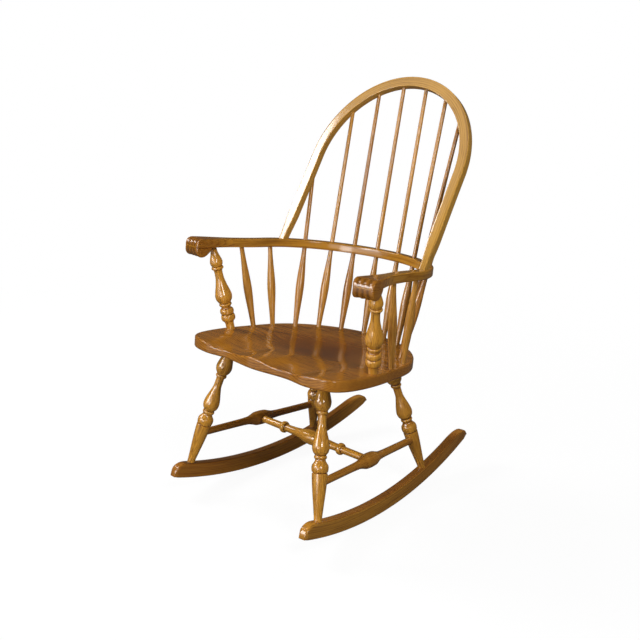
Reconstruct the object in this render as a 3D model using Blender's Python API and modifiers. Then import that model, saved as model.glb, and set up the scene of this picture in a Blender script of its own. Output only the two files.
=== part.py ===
"""A sack-back windsor rocking chair, in metres, with +Z up.

The chair faces -Y and stands on the floor at Z = 0, with the origin on the floor under the middle of its
rockers. The bent arm rail and the hoop set the places of the spindles, the seat is drawn round the
spindles' feet, and every turned piece runs between the two pieces that it joins.
"""

import math

import bmesh
import bpy
from mathutils import Matrix, Vector

CHAIR = "windsor_rocking_chair"
SIDES = {"left": -1, "right": 1}

# Fits: the gap round every tenon, and the wood left under a blind hole
CLEARANCE = 0.0003
SEAT_HOLE_FLOOR = 0.010
RAIL_HOLE_FLOOR = 0.006

# Rockers
ROCKER_LENGTH = 0.724
ROCKER_RADIUS = 1.030
ROCKER_HEIGHT = 0.040
ROCKER_THICKNESS = 0.0248
ROCKER_GAUGE = 0.426
ROCKER_TOE_IN = math.radians(4.0)
ROCKER_CONTACT = -0.023
ROCKER_FLAT = 0.034
ROCKER_FRONT_NOSE = 0.047
ROCKER_REAR_NOSE = 0.085
ROCKER_EASING = 0.003

# Seat, whose frame stands a little ahead of the rockers' middle
SEAT_LEAD = 0.004
SEAT_HEIGHT = 0.397
SEAT_SLOPE = math.radians(7.0)
SEAT_THICKNESS = 0.030
SEAT_MARGIN = 0.0145
SEAT_FORE = 0.217
SEAT_CORNER = 0.080
SEAT_POMMEL = 0.004
SEAT_FRONT_WAVE = 0.007
SEAT_EASING = 0.009
SPINDLE_RING = 0.246
DISH_DEPTH = 0.009
DISH_WIDTH = 0.380
DISH_LENGTH = 0.300
THIGH_DEPTH = 0.013
THIGH_WIDTH = 0.150
THIGH_LENGTH = 0.320
THIGH_SPREAD = 0.210
CUTTER_CROWN = 0.050

# Arm rail
RAIL_HEIGHT = 0.6405
RAIL_SLOPE = math.radians(8.45)
RAIL_THICKNESS = 0.023
RAIL_WIDTH = 0.028
RAIL_HALF_SPAN = 0.256
RAIL_BACK = 0.228
RAIL_SPRING = 0.009
RAIL_EASING = 0.0038
ARM_LENGTH = 0.224
ARM_FLARE = 0.041
ARM_RUN = 0.260
HAND_WIDTH = 0.058
HAND_LENGTH = 0.115
HAND_CORNER = 0.005
HAND_SCROLL = 0.017
HAND_SCROLL_DROP = 0.018
HAND_BLOCK_HEIGHT = 0.025
HAND_BLOCK_LENGTH = 0.050
HAND_BLOCK_NOSE = 0.016
HAND_BLOCK_HEEL = 0.028

# Hoop
HOOP_RADIUS = 0.2415
HOOP_SPRING = 0.2545
HOOP_LEAN = math.radians(32.2)
HOOP_WIDTH = 0.0275
HOOP_FOOT_WIDTH = 0.0185
HOOP_TAPER = 0.080
HOOP_DEPTH = 0.019
HOOP_EASING = 0.0016
HOOP_FOOT_ANGLE = math.radians(73.0)
HOOP_TENON = 0.0072

# Spindles: eight long ones through the rail into the hoop, and two short ones under each arm
LONG_RAIL_ANGLES = tuple(math.radians(angle) for angle in (8.2, 24.2, 39.3, 57.2))
LONG_HOOP_ARCS = (0.0380, 0.1175, 0.2065, 0.4120)
SHORT_RING_ANGLES = (math.radians(71.3), math.radians(86.2))
SHORT_REAR_ANGLE = math.radians(83.5)
SHORT_FRONT_REACH = 0.073
SPINDLE_FOOT = 0.0068
SPINDLE_SWELL = 0.0114
SPINDLE_RAIL = 0.0060
SPINDLE_TIP = 0.0050
SPINDLE_TIP_RUN = 0.085

# Arm posts
POST_REACH = 0.159
POST_SPLAY = math.radians(7.8)
POST_RAKE = math.radians(6.8)
POST_MARGIN = 0.0165
POST_FOOT = 0.0110
POST_TOP = 0.0088
POST_VASE = 0.0225
POST_BEAD = 0.0190

# Legs and stretchers
FRONT_FOOT = -0.302
REAR_FOOT = 0.143
FRONT_LEG_SIDE = 0.1025
FRONT_LEG_BACK = 0.079
REAR_LEG_INSET = 0.059
REAR_LEG_ANGLE = math.radians(39.4)
LEG_TOP = 0.0125
LEG_BULB = 0.0212
LEG_VASE = 0.0213
LEG_BEAD = 0.0204
LEG_NECK = 0.0103
FOOT_WALL = 0.0030
FOOT_SINK = 0.0040
FOOT_SHOULDER = 0.0028
FOOT_TENON_LENGTH = 0.016
STRETCHER_STATION = 0.735
STRETCHER_END = 0.0096
STRETCHER_BODY = 0.0100
STRETCHER_BULB = 0.0197
STRETCHER_RING = 0.0160
STRETCHER_RING_LENGTH = 0.016
STRETCHER_RING_SPREAD = 0.2064
STRETCHER_END_GAP = 0.005
STRETCHER_END_RUN = 0.036
SIDE_BULB_LENGTH = 0.092
CROSS_BULB_LENGTH = 0.118

# Facets of round pieces and of the holes that take them
LEG_FACETS = 12
SPINDLE_FACETS = 10
HOLE_FACETS = 12

# Finishes: colour and roughness
HONEY_OAK = ((0.42, 0.20, 0.045, 1.0), 0.30)
SEAT_OAK = ((0.30, 0.135, 0.035, 1.0), 0.28)
HOOP_OAK = ((0.50, 0.27, 0.075, 1.0), 0.32)
ROCKER_OAK = ((0.27, 0.125, 0.030, 1.0), 0.32)


def ease(share):
    """Smooth step from 0 to 1, flat at both ends."""
    share = min(max(share, 0.0), 1.0)
    return share * share * (3.0 - 2.0 * share)


def sloping_frame(height, slope):
    """Frame on the middle plane whose XY plane falls towards the back by a slope."""
    return Matrix.Translation((0.0, -SEAT_LEAD, height)) @ Matrix.Rotation(-slope, 4, "X")


def meet(frame, level, start, toward):
    """Point where the line from start through toward crosses a level above a frame's XY plane."""
    to_frame = frame.inverted()
    low = (to_frame @ start).z
    high = (to_frame @ toward).z
    return start + (toward - start) * ((level - low) / (high - low))


def beyond(start, end, length):
    """Point on the line from start to end, a length past the end."""
    return end + (end - start).normalized() * length


def upright_frame(origin, along):
    """Frame at an origin with X along a level direction, Y up and Z across."""
    up = Vector((0.0, 0.0, 1.0))
    frame = Matrix((along, up, along.cross(up))).transposed().to_4x4()
    frame.translation = origin
    return frame


def axis_frame(start, end):
    """Frame at start with its Z axis towards end."""
    return Matrix.Translation(start) @ (end - start).to_track_quat("Z", "Y").to_matrix().to_4x4()


def clear_scene():
    """Remove every object of the open scene."""
    for item in list(bpy.data.objects):
        bpy.data.objects.remove(item, do_unlink=True)


def new_collection(name):
    """Collection with a name, linked to the scene."""
    collection = bpy.data.collections.new(name)
    bpy.context.scene.collection.children.link(collection)
    return collection


def dress(item, finish):
    """Give a piece its own material from a finish."""
    colour, roughness = finish
    material = bpy.data.materials.new(item.name + "_finish")
    material.use_nodes = True
    shader = material.node_tree.nodes["Principled BSDF"]
    shader.inputs["Base Color"].default_value = colour
    shader.inputs["Roughness"].default_value = roughness
    shader.inputs["Metallic"].default_value = 0.0
    material.diffuse_color = colour
    item.data.materials.clear()
    item.data.materials.append(material)


def place(name, mesh, frame, collection):
    """Object of a mesh at a frame, in a collection."""
    item = bpy.data.objects.new(name, mesh)
    item.matrix_world = frame
    collection.objects.link(item)
    return item


def as_cutter(item):
    """Mark an object as a cutter, drawn as wires and left out of the part."""
    item.hide_render = True
    item.display_type = "WIRE"
    return item


def turned(name, start, end, profile, facets, collection):
    """Turned piece from start to end, whose profile lists heights above start and radii, bottom first."""
    mesh = bpy.data.meshes.new(name)
    low, high = profile[0][0], profile[-1][0]
    section = [(high, 0.0)] + list(reversed(profile)) + [(low, 0.0)]
    points = [(radius, 0.0, height) for height, radius in section]
    mesh.from_pydata(points, [(i, i + 1) for i in range(len(points) - 1)], [])
    item = place(name, mesh, axis_frame(start, end), collection)
    screw = item.modifiers.new("turning", "SCREW")
    screw.axis = "Z"
    screw.steps = facets
    screw.render_steps = facets
    screw.use_smooth_shade = True
    screw.use_merge_vertices = True
    screw.merge_threshold = 0.00001
    return item


def flat_outline(name, points, half_thickness, frame, collection, smooth=False):
    """Slab from a closed outline in a frame's XY plane, as thick on both sides of the plane."""
    curve = bpy.data.curves.new(name + "_outline", "CURVE")
    curve.dimensions = "2D"
    curve.fill_mode = "BOTH"
    curve.extrude = half_thickness
    curve.resolution_u = 5
    spline = curve.splines.new("BEZIER" if smooth else "POLY")
    if smooth:
        spline.bezier_points.add(len(points) - 1)
        for knot, point in zip(spline.bezier_points, points):
            knot.co = (point[0], point[1], 0.0)
            knot.handle_left_type = "AUTO"
            knot.handle_right_type = "AUTO"
    else:
        spline.points.add(len(points) - 1)
        for knot, point in zip(spline.points, points):
            knot.co = (point[0], point[1], 0.0, 1.0)
    spline.use_cyclic_u = True
    outline = place(name + "_outline", curve, frame, collection)
    depsgraph = bpy.context.evaluated_depsgraph_get()
    mesh = bpy.data.meshes.new_from_object(outline.evaluated_get(depsgraph))
    mesh.name = name
    shape = bmesh.new()
    shape.from_mesh(mesh)
    bmesh.ops.remove_doubles(shape, verts=shape.verts, dist=0.00001)
    caps = [edge for edge in shape.edges if edge.is_manifold and edge.calc_face_angle() < 0.001]
    bmesh.ops.dissolve_edges(shape, edges=caps, use_verts=False)
    bmesh.ops.recalc_face_normals(shape, faces=shape.faces)
    shape.to_mesh(mesh)
    shape.free()
    item = place(name, mesh, frame, collection)
    bpy.data.objects.remove(outline, do_unlink=True)
    return item


def ease_edges(item, width, segments):
    """Round the sharp edges of a slab."""
    bevel = item.modifiers.new("eased_edges", "BEVEL")
    bevel.width = width
    bevel.segments = segments
    bevel.limit_method = "ANGLE"
    bevel.angle_limit = math.radians(50.0)
    bevel.use_clamp_overlap = True


def shade_round(item):
    """Shade a mesh smooth, with its sharp edges kept."""
    item.data.shade_smooth()
    item.data.set_sharp_from_angle(angle=math.radians(35.0))


def cut(item, cutter):
    """Cut a cutter out of a piece."""
    hole = item.modifiers.new(cutter.name, "BOOLEAN")
    hole.operation = "DIFFERENCE"
    hole.solver = "EXACT"
    hole.object = cutter


def drill(item, bores, cutters):
    """Drill round holes into a piece; each bore has a start, an end and the radius of what it takes."""
    shape = bmesh.new()
    for start, end, radius in bores:
        middle = (start + end) / 2.0
        frame = axis_frame(start, end)
        frame.translation = middle
        flat = (radius + CLEARANCE) / math.cos(math.pi / HOLE_FACETS)
        bmesh.ops.create_cone(
            shape,
            cap_ends=True,
            segments=HOLE_FACETS,
            radius1=flat,
            radius2=flat,
            depth=(end - start).length,
            matrix=frame,
        )
    mesh = bpy.data.meshes.new(item.name + "_bores")
    shape.to_mesh(mesh)
    shape.free()
    cut(item, as_cutter(place(item.name + "_bores", mesh, Matrix.Identity(4), cutters)))


def band(path, half_widths):
    """Closed outline of a band along a path in the XY plane, with a half width at each point."""
    left = []
    right = []
    for index, point in enumerate(path):
        before = path[max(index - 1, 0)]
        after = path[min(index + 1, len(path) - 1)]
        run = (Vector(after) - Vector(before)).normalized()
        across = Vector((-run.y, run.x)) * half_widths[index]
        left.append(Vector(point) + across)
        right.append(Vector(point) - across)
    return left + right[::-1]


class Chair:
    """The chair's frames and the points where its pieces meet."""

    def __init__(self):
        self.seat = sloping_frame(SEAT_HEIGHT, SEAT_SLOPE)
        self.rail = sloping_frame(RAIL_HEIGHT, RAIL_SLOPE)
        foot = self.rail @ self.rail_back(HOOP_FOOT_ANGLE)
        self.hoop_foot = foot.x
        lean = Matrix.Rotation(math.pi / 2.0 - HOOP_LEAN, 4, "X")
        self.hoop = Matrix.Translation((0.0, foot.y, foot.z)) @ lean
        self.long_routes = [self.long_route(index) for index in range(len(LONG_HOOP_ARCS))]
        rear_foot = self.seat.inverted() @ self.long_routes[0][0]
        self.ring_centre = rear_foot.y - math.sqrt(SPINDLE_RING**2 - rear_foot.x**2)
        self.post_top = self.rail @ (self.rail_arm(POST_REACH) - Vector((0.0, 0.0, RAIL_THICKNESS)))
        lean_in = Vector((-math.tan(POST_SPLAY), math.tan(POST_RAKE), -1.0))
        self.post_foot = meet(self.seat, 0.0, self.post_top, self.post_top + lean_in)
        self.seat_side = (self.seat.inverted() @ self.post_foot).x + POST_MARGIN
        self.seat_front = self.ring_centre - SEAT_FORE

    def rail_back(self, angle):
        """Point of the rail's middle line in its frame, at an angle round its back from the middle."""
        return Vector((RAIL_HALF_SPAN * math.sin(angle), RAIL_SPRING + RAIL_BACK * math.cos(angle), 0.0))

    def rail_arm(self, reach):
        """Point of the rail's middle line in its frame, a distance ahead of where the arm begins."""
        return Vector((RAIL_HALF_SPAN + ARM_FLARE * ease(reach / ARM_RUN), RAIL_SPRING - reach, 0.0))

    def hoop_arch(self, arc):
        """Point of the hoop's middle line in its frame, an arc away from its top."""
        angle = arc / HOOP_RADIUS
        return Vector((HOOP_RADIUS * math.sin(angle), HOOP_SPRING + HOOP_RADIUS * math.cos(angle), 0.0))

    def hoop_limb(self, height):
        """Point of the hoop's middle line in its frame, at a height below the arch."""
        share = (HOOP_SPRING - height) / HOOP_SPRING
        return Vector((HOOP_RADIUS - (HOOP_RADIUS - self.hoop_foot) * share * share, height, 0.0))

    def long_route(self, index):
        """Foot on the seat, crossing in the rail and end in the hoop of a long spindle on the right."""
        crossing = self.rail_back(LONG_RAIL_ANGLES[index]) - Vector((0.0, 0.0, RAIL_THICKNESS / 2.0))
        crossing = self.rail @ crossing
        end = self.hoop @ self.hoop_arch(LONG_HOOP_ARCS[index])
        return meet(self.seat, 0.0, end, crossing), crossing, end

    def ring_point(self, angle, radius, level):
        """Point round the spindle ring's centre, at an angle from the back and a level above the deck."""
        side = radius * math.sin(angle)
        return self.seat @ Vector((side, self.ring_centre + radius * math.cos(angle), level))

    def short_route(self, index):
        """Foot on the seat and end under the rail of a short spindle on the right, rear one first."""
        foot = self.ring_point(SHORT_RING_ANGLES[index], SPINDLE_RING, 0.0)
        middle = (self.rail_back(SHORT_REAR_ANGLE), self.rail_arm(SHORT_FRONT_REACH))[index]
        return foot, self.rail @ (middle - Vector((0.0, 0.0, RAIL_THICKNESS)))

    def rocker_frame(self, side):
        """Frame of a rocker: X along it to the back, Y up, Z across it, on the floor."""
        along = Vector((-side * math.sin(ROCKER_TOE_IN), math.cos(ROCKER_TOE_IN), 0.0))
        return upright_frame((side * ROCKER_GAUGE / 2.0, 0.0, 0.0), along)

    def hand_frame(self, side):
        """Frame of a hand: at the tip of the arm's top, X back along the arm, Y up, Z across."""
        tip = mirrored(self.rail_arm(ARM_LENGTH), side)
        heel = mirrored(self.rail_arm(ARM_LENGTH - HAND_BLOCK_LENGTH), side)
        return self.rail @ upright_frame(tip, (heel - tip).normalized())

    def rocker_arc(self, along, inset):
        """Point of the rocker's side view, on an arc an inset above its underside."""
        radius = ROCKER_RADIUS - inset
        centre = ROCKER_RADIUS * math.cos(ROCKER_FLAT / ROCKER_RADIUS / 2.0)
        return Vector((along, centre - math.sqrt(radius**2 - (along - ROCKER_CONTACT) ** 2)))

    def leg_ends(self, end, side):
        """Top in the seat's underside and foot on the rocker of a leg."""
        if end == "front":
            across = self.seat_side - FRONT_LEG_SIDE
            top = self.seat @ Vector((across, self.seat_front + FRONT_LEG_BACK, -SEAT_THICKNESS))
            along = FRONT_FOOT
        else:
            inset = SPINDLE_RING + SEAT_MARGIN - REAR_LEG_INSET
            top = self.ring_point(REAR_LEG_ANGLE, inset, -SEAT_THICKNESS)
            along = REAR_FOOT
        arc = self.rocker_arc(along, ROCKER_HEIGHT)
        foot = self.rocker_frame(side) @ Vector((arc.x, arc.y, 0.0))
        return Vector((side * top.x, top.y, top.z)), foot


def mirrored(point, side):
    """A point of the right side, or its mirror image on the left."""
    return Vector((side * point.x, point.y, point.z))


def make_rocker(chair, name, side, parts, cutters):
    """Bent runner: two arcs round one centre, with both ends rounded down to the underside."""
    front, rear = -ROCKER_LENGTH / 2.0, ROCKER_LENGTH / 2.0
    step = ROCKER_FLAT / ROCKER_RADIUS
    count = int(math.pi / 2.0 / step)
    turns = [(k + 0.5) * step for k in range(-count, count)]
    flats = [ROCKER_CONTACT + ROCKER_RADIUS * math.sin(turn) for turn in turns]
    lower = [front] + [along for along in flats if front < along < rear] + [rear]
    top_front, top_rear = front + ROCKER_FRONT_NOSE, rear - ROCKER_REAR_NOSE
    upper = [top_rear] + [along for along in reversed(flats) if top_front < along < top_rear] + [top_front]
    outline = [chair.rocker_arc(along, 0.0) for along in lower]

    def nose(share, tip, root):
        angle = share * math.pi / 2.0
        along = root + (tip - root) * math.cos(angle)
        return chair.rocker_arc(along, ROCKER_HEIGHT * math.sin(angle))

    shares = (0.25, 0.5, 0.75)
    outline += [nose(share, rear, top_rear) for share in shares]
    outline += [chair.rocker_arc(along, ROCKER_HEIGHT) for along in upper]
    outline += [nose(share, front, top_front) for share in reversed(shares)]
    frame = chair.rocker_frame(side)
    rocker = flat_outline(name, outline, ROCKER_THICKNESS / 2.0, frame, parts)
    ease_edges(rocker, ROCKER_EASING, 1)
    shade_round(rocker)
    radius = ROCKER_THICKNESS / 2.0 - FOOT_WALL
    for end in ("front", "rear"):
        top, foot = chair.leg_ends(end, side)
        depth = FOOT_SINK + FOOT_TENON_LENGTH + CLEARANCE
        low = beyond(top, foot, depth)
        tenon = (radius - FOOT_SHOULDER + CLEARANCE) / math.cos(math.pi / HOLE_FACETS)
        body = (radius + CLEARANCE) / math.cos(math.pi / HOLE_FACETS)
        floor = depth - FOOT_SINK - CLEARANCE
        profile = [(0.0, tenon), (floor, tenon), (floor, body), (depth + ROCKER_HEIGHT, body)]
        socket = turned(name + "_" + end + "_socket", low, top, profile, HOLE_FACETS, cutters)
        cut(rocker, as_cutter(socket))
    dress(rocker, ROCKER_OAK)


def make_seat(chair, parts, cutters):
    """Plank seat drawn round the spindles' feet, dished, with two thigh hollows that leave a pommel."""
    edge = SPINDLE_RING + SEAT_MARGIN
    side, front = chair.seat_side, chair.seat_front
    corner = SEAT_CORNER * (1.0 - math.sqrt(0.5))
    turns = [math.radians(angle) for angle in (30, 60, 90)]
    right = [(edge * math.sin(turn), chair.ring_centre + edge * math.cos(turn)) for turn in turns]
    right += [(side, front + 1.15 * SEAT_CORNER), (side - corner, front + corner)]
    right += [(side - 1.1 * SEAT_CORNER, front)]
    right += [(THIGH_SPREAD / 2.0, front + SEAT_FRONT_WAVE)]
    outline = [(0.0, chair.ring_centre + edge)] + right + [(0.0, front - SEAT_POMMEL)]
    outline += [(-x, y) for x, y in reversed(right)]
    frame = chair.seat @ Matrix.Translation((0.0, 0.0, -SEAT_THICKNESS / 2.0))
    seat = flat_outline("seat", outline, SEAT_THICKNESS / 2.0, frame, parts, smooth=True)
    ease_edges(seat, SEAT_EASING, 3)
    shade_round(seat)

    def hollow(name, x, y, width, length, depth):
        spread = math.sqrt(1.0 - ((CUTTER_CROWN - depth) / CUTTER_CROWN) ** 2)
        size = Matrix.Diagonal((width / 2.0 / spread, length / 2.0 / spread, CUTTER_CROWN, 1.0))
        shape = bmesh.new()
        bmesh.ops.create_uvsphere(shape, u_segments=32, v_segments=18, radius=1.0, matrix=size)
        mesh = bpy.data.meshes.new(name)
        shape.to_mesh(mesh)
        shape.free()
        place_at = chair.seat @ Matrix.Translation((x, y, CUTTER_CROWN - depth))
        cut(seat, as_cutter(place(name, mesh, place_at, cutters)))

    hollow("seat_dish", 0.0, chair.ring_centre + DISH_LENGTH / 6.0, DISH_WIDTH, DISH_LENGTH, DISH_DEPTH)
    for label, sign in SIDES.items():
        name = "thigh_hollow_" + label
        middle = sign * THIGH_SPREAD / 2.0
        hollow(name, middle, front + THIGH_LENGTH / 6.0, THIGH_WIDTH, THIGH_LENGTH, THIGH_DEPTH)

    bores = []
    for sign in SIDES.values():
        for foot, crossing, _ in chair.long_routes:
            bores.append(seat_bore(chair, foot, crossing, SPINDLE_FOOT, sign))
        for index in range(len(SHORT_RING_ANGLES)):
            foot, end = chair.short_route(index)
            bores.append(seat_bore(chair, foot, end, SPINDLE_FOOT, sign))
        bores.append(seat_bore(chair, chair.post_foot, chair.post_top, POST_FOOT, sign))
        for end in ("front", "rear"):
            top, foot = chair.leg_ends(end, sign)
            inner = meet(chair.seat, -SEAT_HOLE_FLOOR + CLEARANCE, foot, top)
            bores.append((beyond(inner, top, SEAT_THICKNESS), inner, LEG_TOP))
    drill(seat, bores, cutters)
    dress(seat, SEAT_OAK)


def seat_bore(chair, foot, toward, radius, side):
    """Blind hole from above the deck for a turned piece that stands on a foot and leans toward a point."""
    inner = meet(chair.seat, SEAT_HOLE_FLOOR - SEAT_THICKNESS - CLEARANCE, toward, foot)
    outer = beyond(inner, foot, SEAT_THICKNESS)
    return mirrored(outer, side), mirrored(inner, side), radius


def make_leg(chair, name, end, side, parts, cutters):
    """Turned leg: tenon, bulb, ring, vase, collar, bead, groove and a tapered foot."""
    top, foot = chair.leg_ends(end, side)
    upper = meet(chair.seat, -SEAT_HOLE_FLOOR, foot, top)
    lower = beyond(top, foot, FOOT_SINK + FOOT_TENON_LENGTH)
    shank = (top - foot).length
    base = FOOT_SINK + FOOT_TENON_LENGTH
    radius = ROCKER_THICKNESS / 2.0 - FOOT_WALL
    swelling = LEG_BEAD - radius
    turning = [
        (0.895, radius + 0.30 * swelling),
        (0.790, radius + 0.64 * swelling),
        (0.665, radius + 0.90 * swelling),
        (0.656, radius + 0.78 * swelling),
        (0.647, radius + 0.90 * swelling),
        (0.630, LEG_BEAD),
        (0.605, LEG_BEAD),
        (0.578, LEG_BEAD - 0.006),
        (0.559, LEG_NECK + 0.0022),
        (0.554, LEG_NECK + 0.0045),
        (0.538, LEG_NECK + 0.0048),
        (0.530, LEG_NECK + 0.0033),
        (0.505, LEG_VASE - 0.0022),
        (0.475, LEG_VASE),
        (0.440, LEG_VASE - 0.0015),
        (0.370, LEG_NECK + 0.0045),
        (0.310, LEG_NECK),
        (0.245, LEG_NECK),
        (0.236, LEG_NECK + 0.0030),
        (0.219, LEG_NECK + 0.0030),
        (0.210, LEG_NECK + 0.0035),
        (0.178, LEG_BULB - 0.0010),
        (0.150, LEG_BULB),
        (0.105, LEG_BULB - 0.0028),
        (0.030, LEG_TOP),
    ]
    profile = [(0.0, radius - FOOT_SHOULDER), (FOOT_TENON_LENGTH, radius - FOOT_SHOULDER)]
    profile += [(FOOT_TENON_LENGTH, radius), (base, radius)]
    profile += [(base + shank * (1.0 - share), size) for share, size in turning]
    profile += [((upper - lower).length, LEG_TOP)]
    leg = turned(name, lower, upper, profile, LEG_FACETS, parts)
    start, finish = stretcher_ends(chair, side)
    near, far = (start, finish) if end == "front" else (finish, start)
    drill(leg, [(beyond(far, near, CLEARANCE), far, STRETCHER_END)], cutters)
    dress(leg, HONEY_OAK)


def leg_station(chair, end, side):
    """Point of a leg's axis where the side stretcher meets it."""
    top, foot = chair.leg_ends(end, side)
    return top.lerp(foot, STRETCHER_STATION)


def stretcher_ends(chair, side):
    """Front and rear ends of a side stretcher, short of the legs' axes."""
    front = leg_station(chair, "front", side)
    rear = leg_station(chair, "rear", side)
    return beyond(rear, front, -STRETCHER_END_GAP), beyond(front, rear, -STRETCHER_END_GAP)


def stretcher_bulb(length):
    """Half of a stretcher's bulb: reaches from its middle and radii, down to the slim body."""
    swelling = STRETCHER_BULB - STRETCHER_BODY
    shape = [(0.0, 1.0), (0.33, 0.90), (0.65, 0.46), (1.0, 0.12)]
    return [(length / 2.0 * share, STRETCHER_BODY + swelling * size) for share, size in shape]


def even_profile(middle, half):
    """Profile of a stretcher with two like halves, from reaches and radii of one half."""
    profile = [(middle - reach, radius) for reach, radius in reversed(half)]
    return profile + [(middle + reach, radius) for reach, radius in half[1:]]


def make_side_stretcher(chair, name, side, parts, cutters):
    """Turned side stretcher with a bulb in the middle that takes the cross stretcher."""
    front, rear = stretcher_ends(chair, side)
    middle = (rear - front).length / 2.0
    half = stretcher_bulb(SIDE_BULB_LENGTH)
    half += [(0.75 * SIDE_BULB_LENGTH, STRETCHER_BODY)]
    half += [(middle - STRETCHER_END_RUN, STRETCHER_END), (middle, STRETCHER_END)]
    stretcher = turned(name, front, rear, even_profile(middle, half), LEG_FACETS, parts)
    left, right = cross_ends(chair)
    near, far = (left, right) if side < 0 else (right, left)
    drill(stretcher, [(beyond(far, near, CLEARANCE), far, STRETCHER_END)], cutters)
    dress(stretcher, HONEY_OAK)


def cross_ends(chair):
    """Left and right ends of the cross stretcher, short of the side stretchers' axes."""
    ends = []
    for side in (-1, 1):
        front, rear = stretcher_ends(chair, side)
        middle = (front + rear) / 2.0
        ends.append(middle - Vector((side * STRETCHER_END_GAP, 0.0, 0.0)))
    return ends


def make_cross_stretcher(chair, parts):
    """Turned cross stretcher with a bulb in the middle and a ring on each side of it."""
    left, right = cross_ends(chair)
    middle = (right - left).length / 2.0
    swelling = STRETCHER_RING - STRETCHER_BODY
    ring = [(-1.0, 0.0), (-0.88, 0.6), (-0.38, 1.0), (0.38, 1.0), (0.88, 0.6), (1.0, 0.0)]
    half = stretcher_bulb(CROSS_BULB_LENGTH)
    for share, size in ring:
        reach = (STRETCHER_RING_SPREAD + share * STRETCHER_RING_LENGTH) / 2.0
        half.append((reach, STRETCHER_BODY + swelling * size))
    half += [(middle - STRETCHER_END_RUN, STRETCHER_END), (middle, STRETCHER_END)]
    stretcher = turned("cross_stretcher", left, right, even_profile(middle, half), LEG_FACETS, parts)
    dress(stretcher, HONEY_OAK)


def make_post(chair, name, side, parts):
    """Turned arm post: two beads, ring, vase, ring and a small bulb under the arm."""
    foot, top = mirrored(chair.post_foot, side), mirrored(chair.post_top, side)
    lower = meet(chair.seat, SEAT_HOLE_FLOOR - SEAT_THICKNESS, top, foot)
    upper = meet(chair.rail, -RAIL_HOLE_FLOOR, foot, top)
    base = (foot - lower).length
    shank = (top - foot).length
    turning = [
        (0.055, POST_FOOT),
        (0.090, POST_FOOT + 0.0025),
        (0.120, POST_BEAD - 0.0010),
        (0.140, POST_BEAD),
        (0.165, POST_BEAD - 0.0008),
        (0.182, POST_BEAD - 0.0035),
        (0.200, POST_BEAD - 0.0010),
        (0.222, POST_BEAD - 0.0005),
        (0.245, POST_BEAD - 0.0020),
        (0.272, POST_FOOT + 0.0015),
        (0.287, POST_FOOT + 0.0045),
        (0.312, POST_FOOT + 0.0050),
        (0.322, POST_FOOT + 0.0052),
        (0.370, POST_VASE - 0.0020),
        (0.420, POST_VASE),
        (0.470, POST_VASE - 0.0020),
        (0.580, POST_FOOT + 0.0035),
        (0.670, POST_FOOT),
        (0.722, POST_FOOT + 0.0010),
        (0.731, POST_FOOT + 0.0047),
        (0.757, POST_FOOT + 0.0050),
        (0.766, POST_FOOT + 0.0042),
        (0.810, POST_FOOT + 0.0065),
        (0.860, POST_FOOT + 0.0040),
        (0.930, POST_TOP + 0.0008),
        (0.960, POST_TOP),
    ]
    profile = [(0.0, POST_FOOT)]
    profile += [(base + shank * share, radius) for share, radius in turning]
    profile += [((upper - lower).length, POST_TOP)]
    dress(turned(name, lower, upper, profile, LEG_FACETS, parts), HONEY_OAK)


def swell(base, run):
    """Profile of a spindle from its foot to the rail: a long swelling below the middle."""
    shape = [(0.00, SPINDLE_FOOT), (0.18, SPINDLE_FOOT + 0.0012), (0.36, SPINDLE_SWELL - 0.0008)]
    shape += [(0.48, SPINDLE_SWELL), (0.60, SPINDLE_SWELL - 0.0010), (0.80, SPINDLE_RAIL + 0.0010)]
    shape += [(0.93, SPINDLE_RAIL)]
    return [(0.0, SPINDLE_FOOT)] + [(base + run * share, radius) for share, radius in shape]


def make_long_spindle(chair, name, index, side, parts):
    """Spindle from the seat through the rail into the hoop."""
    foot, crossing, end = (mirrored(point, side) for point in chair.long_routes[index])
    lower = meet(chair.seat, SEAT_HOLE_FLOOR - SEAT_THICKNESS, end, foot)
    base = (foot - lower).length
    run = (crossing - foot).length
    length = (end - lower).length
    profile = swell(base, run - RAIL_THICKNESS / 2.0)
    profile += [(base + run + RAIL_THICKNESS, SPINDLE_RAIL), (length - SPINDLE_TIP_RUN, SPINDLE_TIP)]
    profile += [(length, SPINDLE_TIP)]
    dress(turned(name, lower, end, profile, SPINDLE_FACETS, parts), HONEY_OAK)


def make_short_spindle(chair, name, index, side, parts):
    """Spindle from the seat up to a blind hole under an arm."""
    foot, end = (mirrored(point, side) for point in chair.short_route(index))
    lower = meet(chair.seat, SEAT_HOLE_FLOOR - SEAT_THICKNESS, end, foot)
    upper = meet(chair.rail, -RAIL_HOLE_FLOOR, foot, end)
    profile = swell((foot - lower).length, (end - foot).length)
    profile += [((upper - lower).length, SPINDLE_RAIL)]
    dress(turned(name, lower, upper, profile, SPINDLE_FACETS, parts), HONEY_OAK)


def hand_half_width(distance):
    """Half width of the arm at a distance from its front end, with a rounded corner there."""
    half = HAND_WIDTH / 2.0 - (HAND_WIDTH - RAIL_WIDTH) / 2.0 * ease((distance - HAND_CORNER) / HAND_LENGTH)
    short = max(HAND_CORNER - distance, 0.0)
    return half - HAND_CORNER + math.sqrt(HAND_CORNER**2 - short**2)


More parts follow.
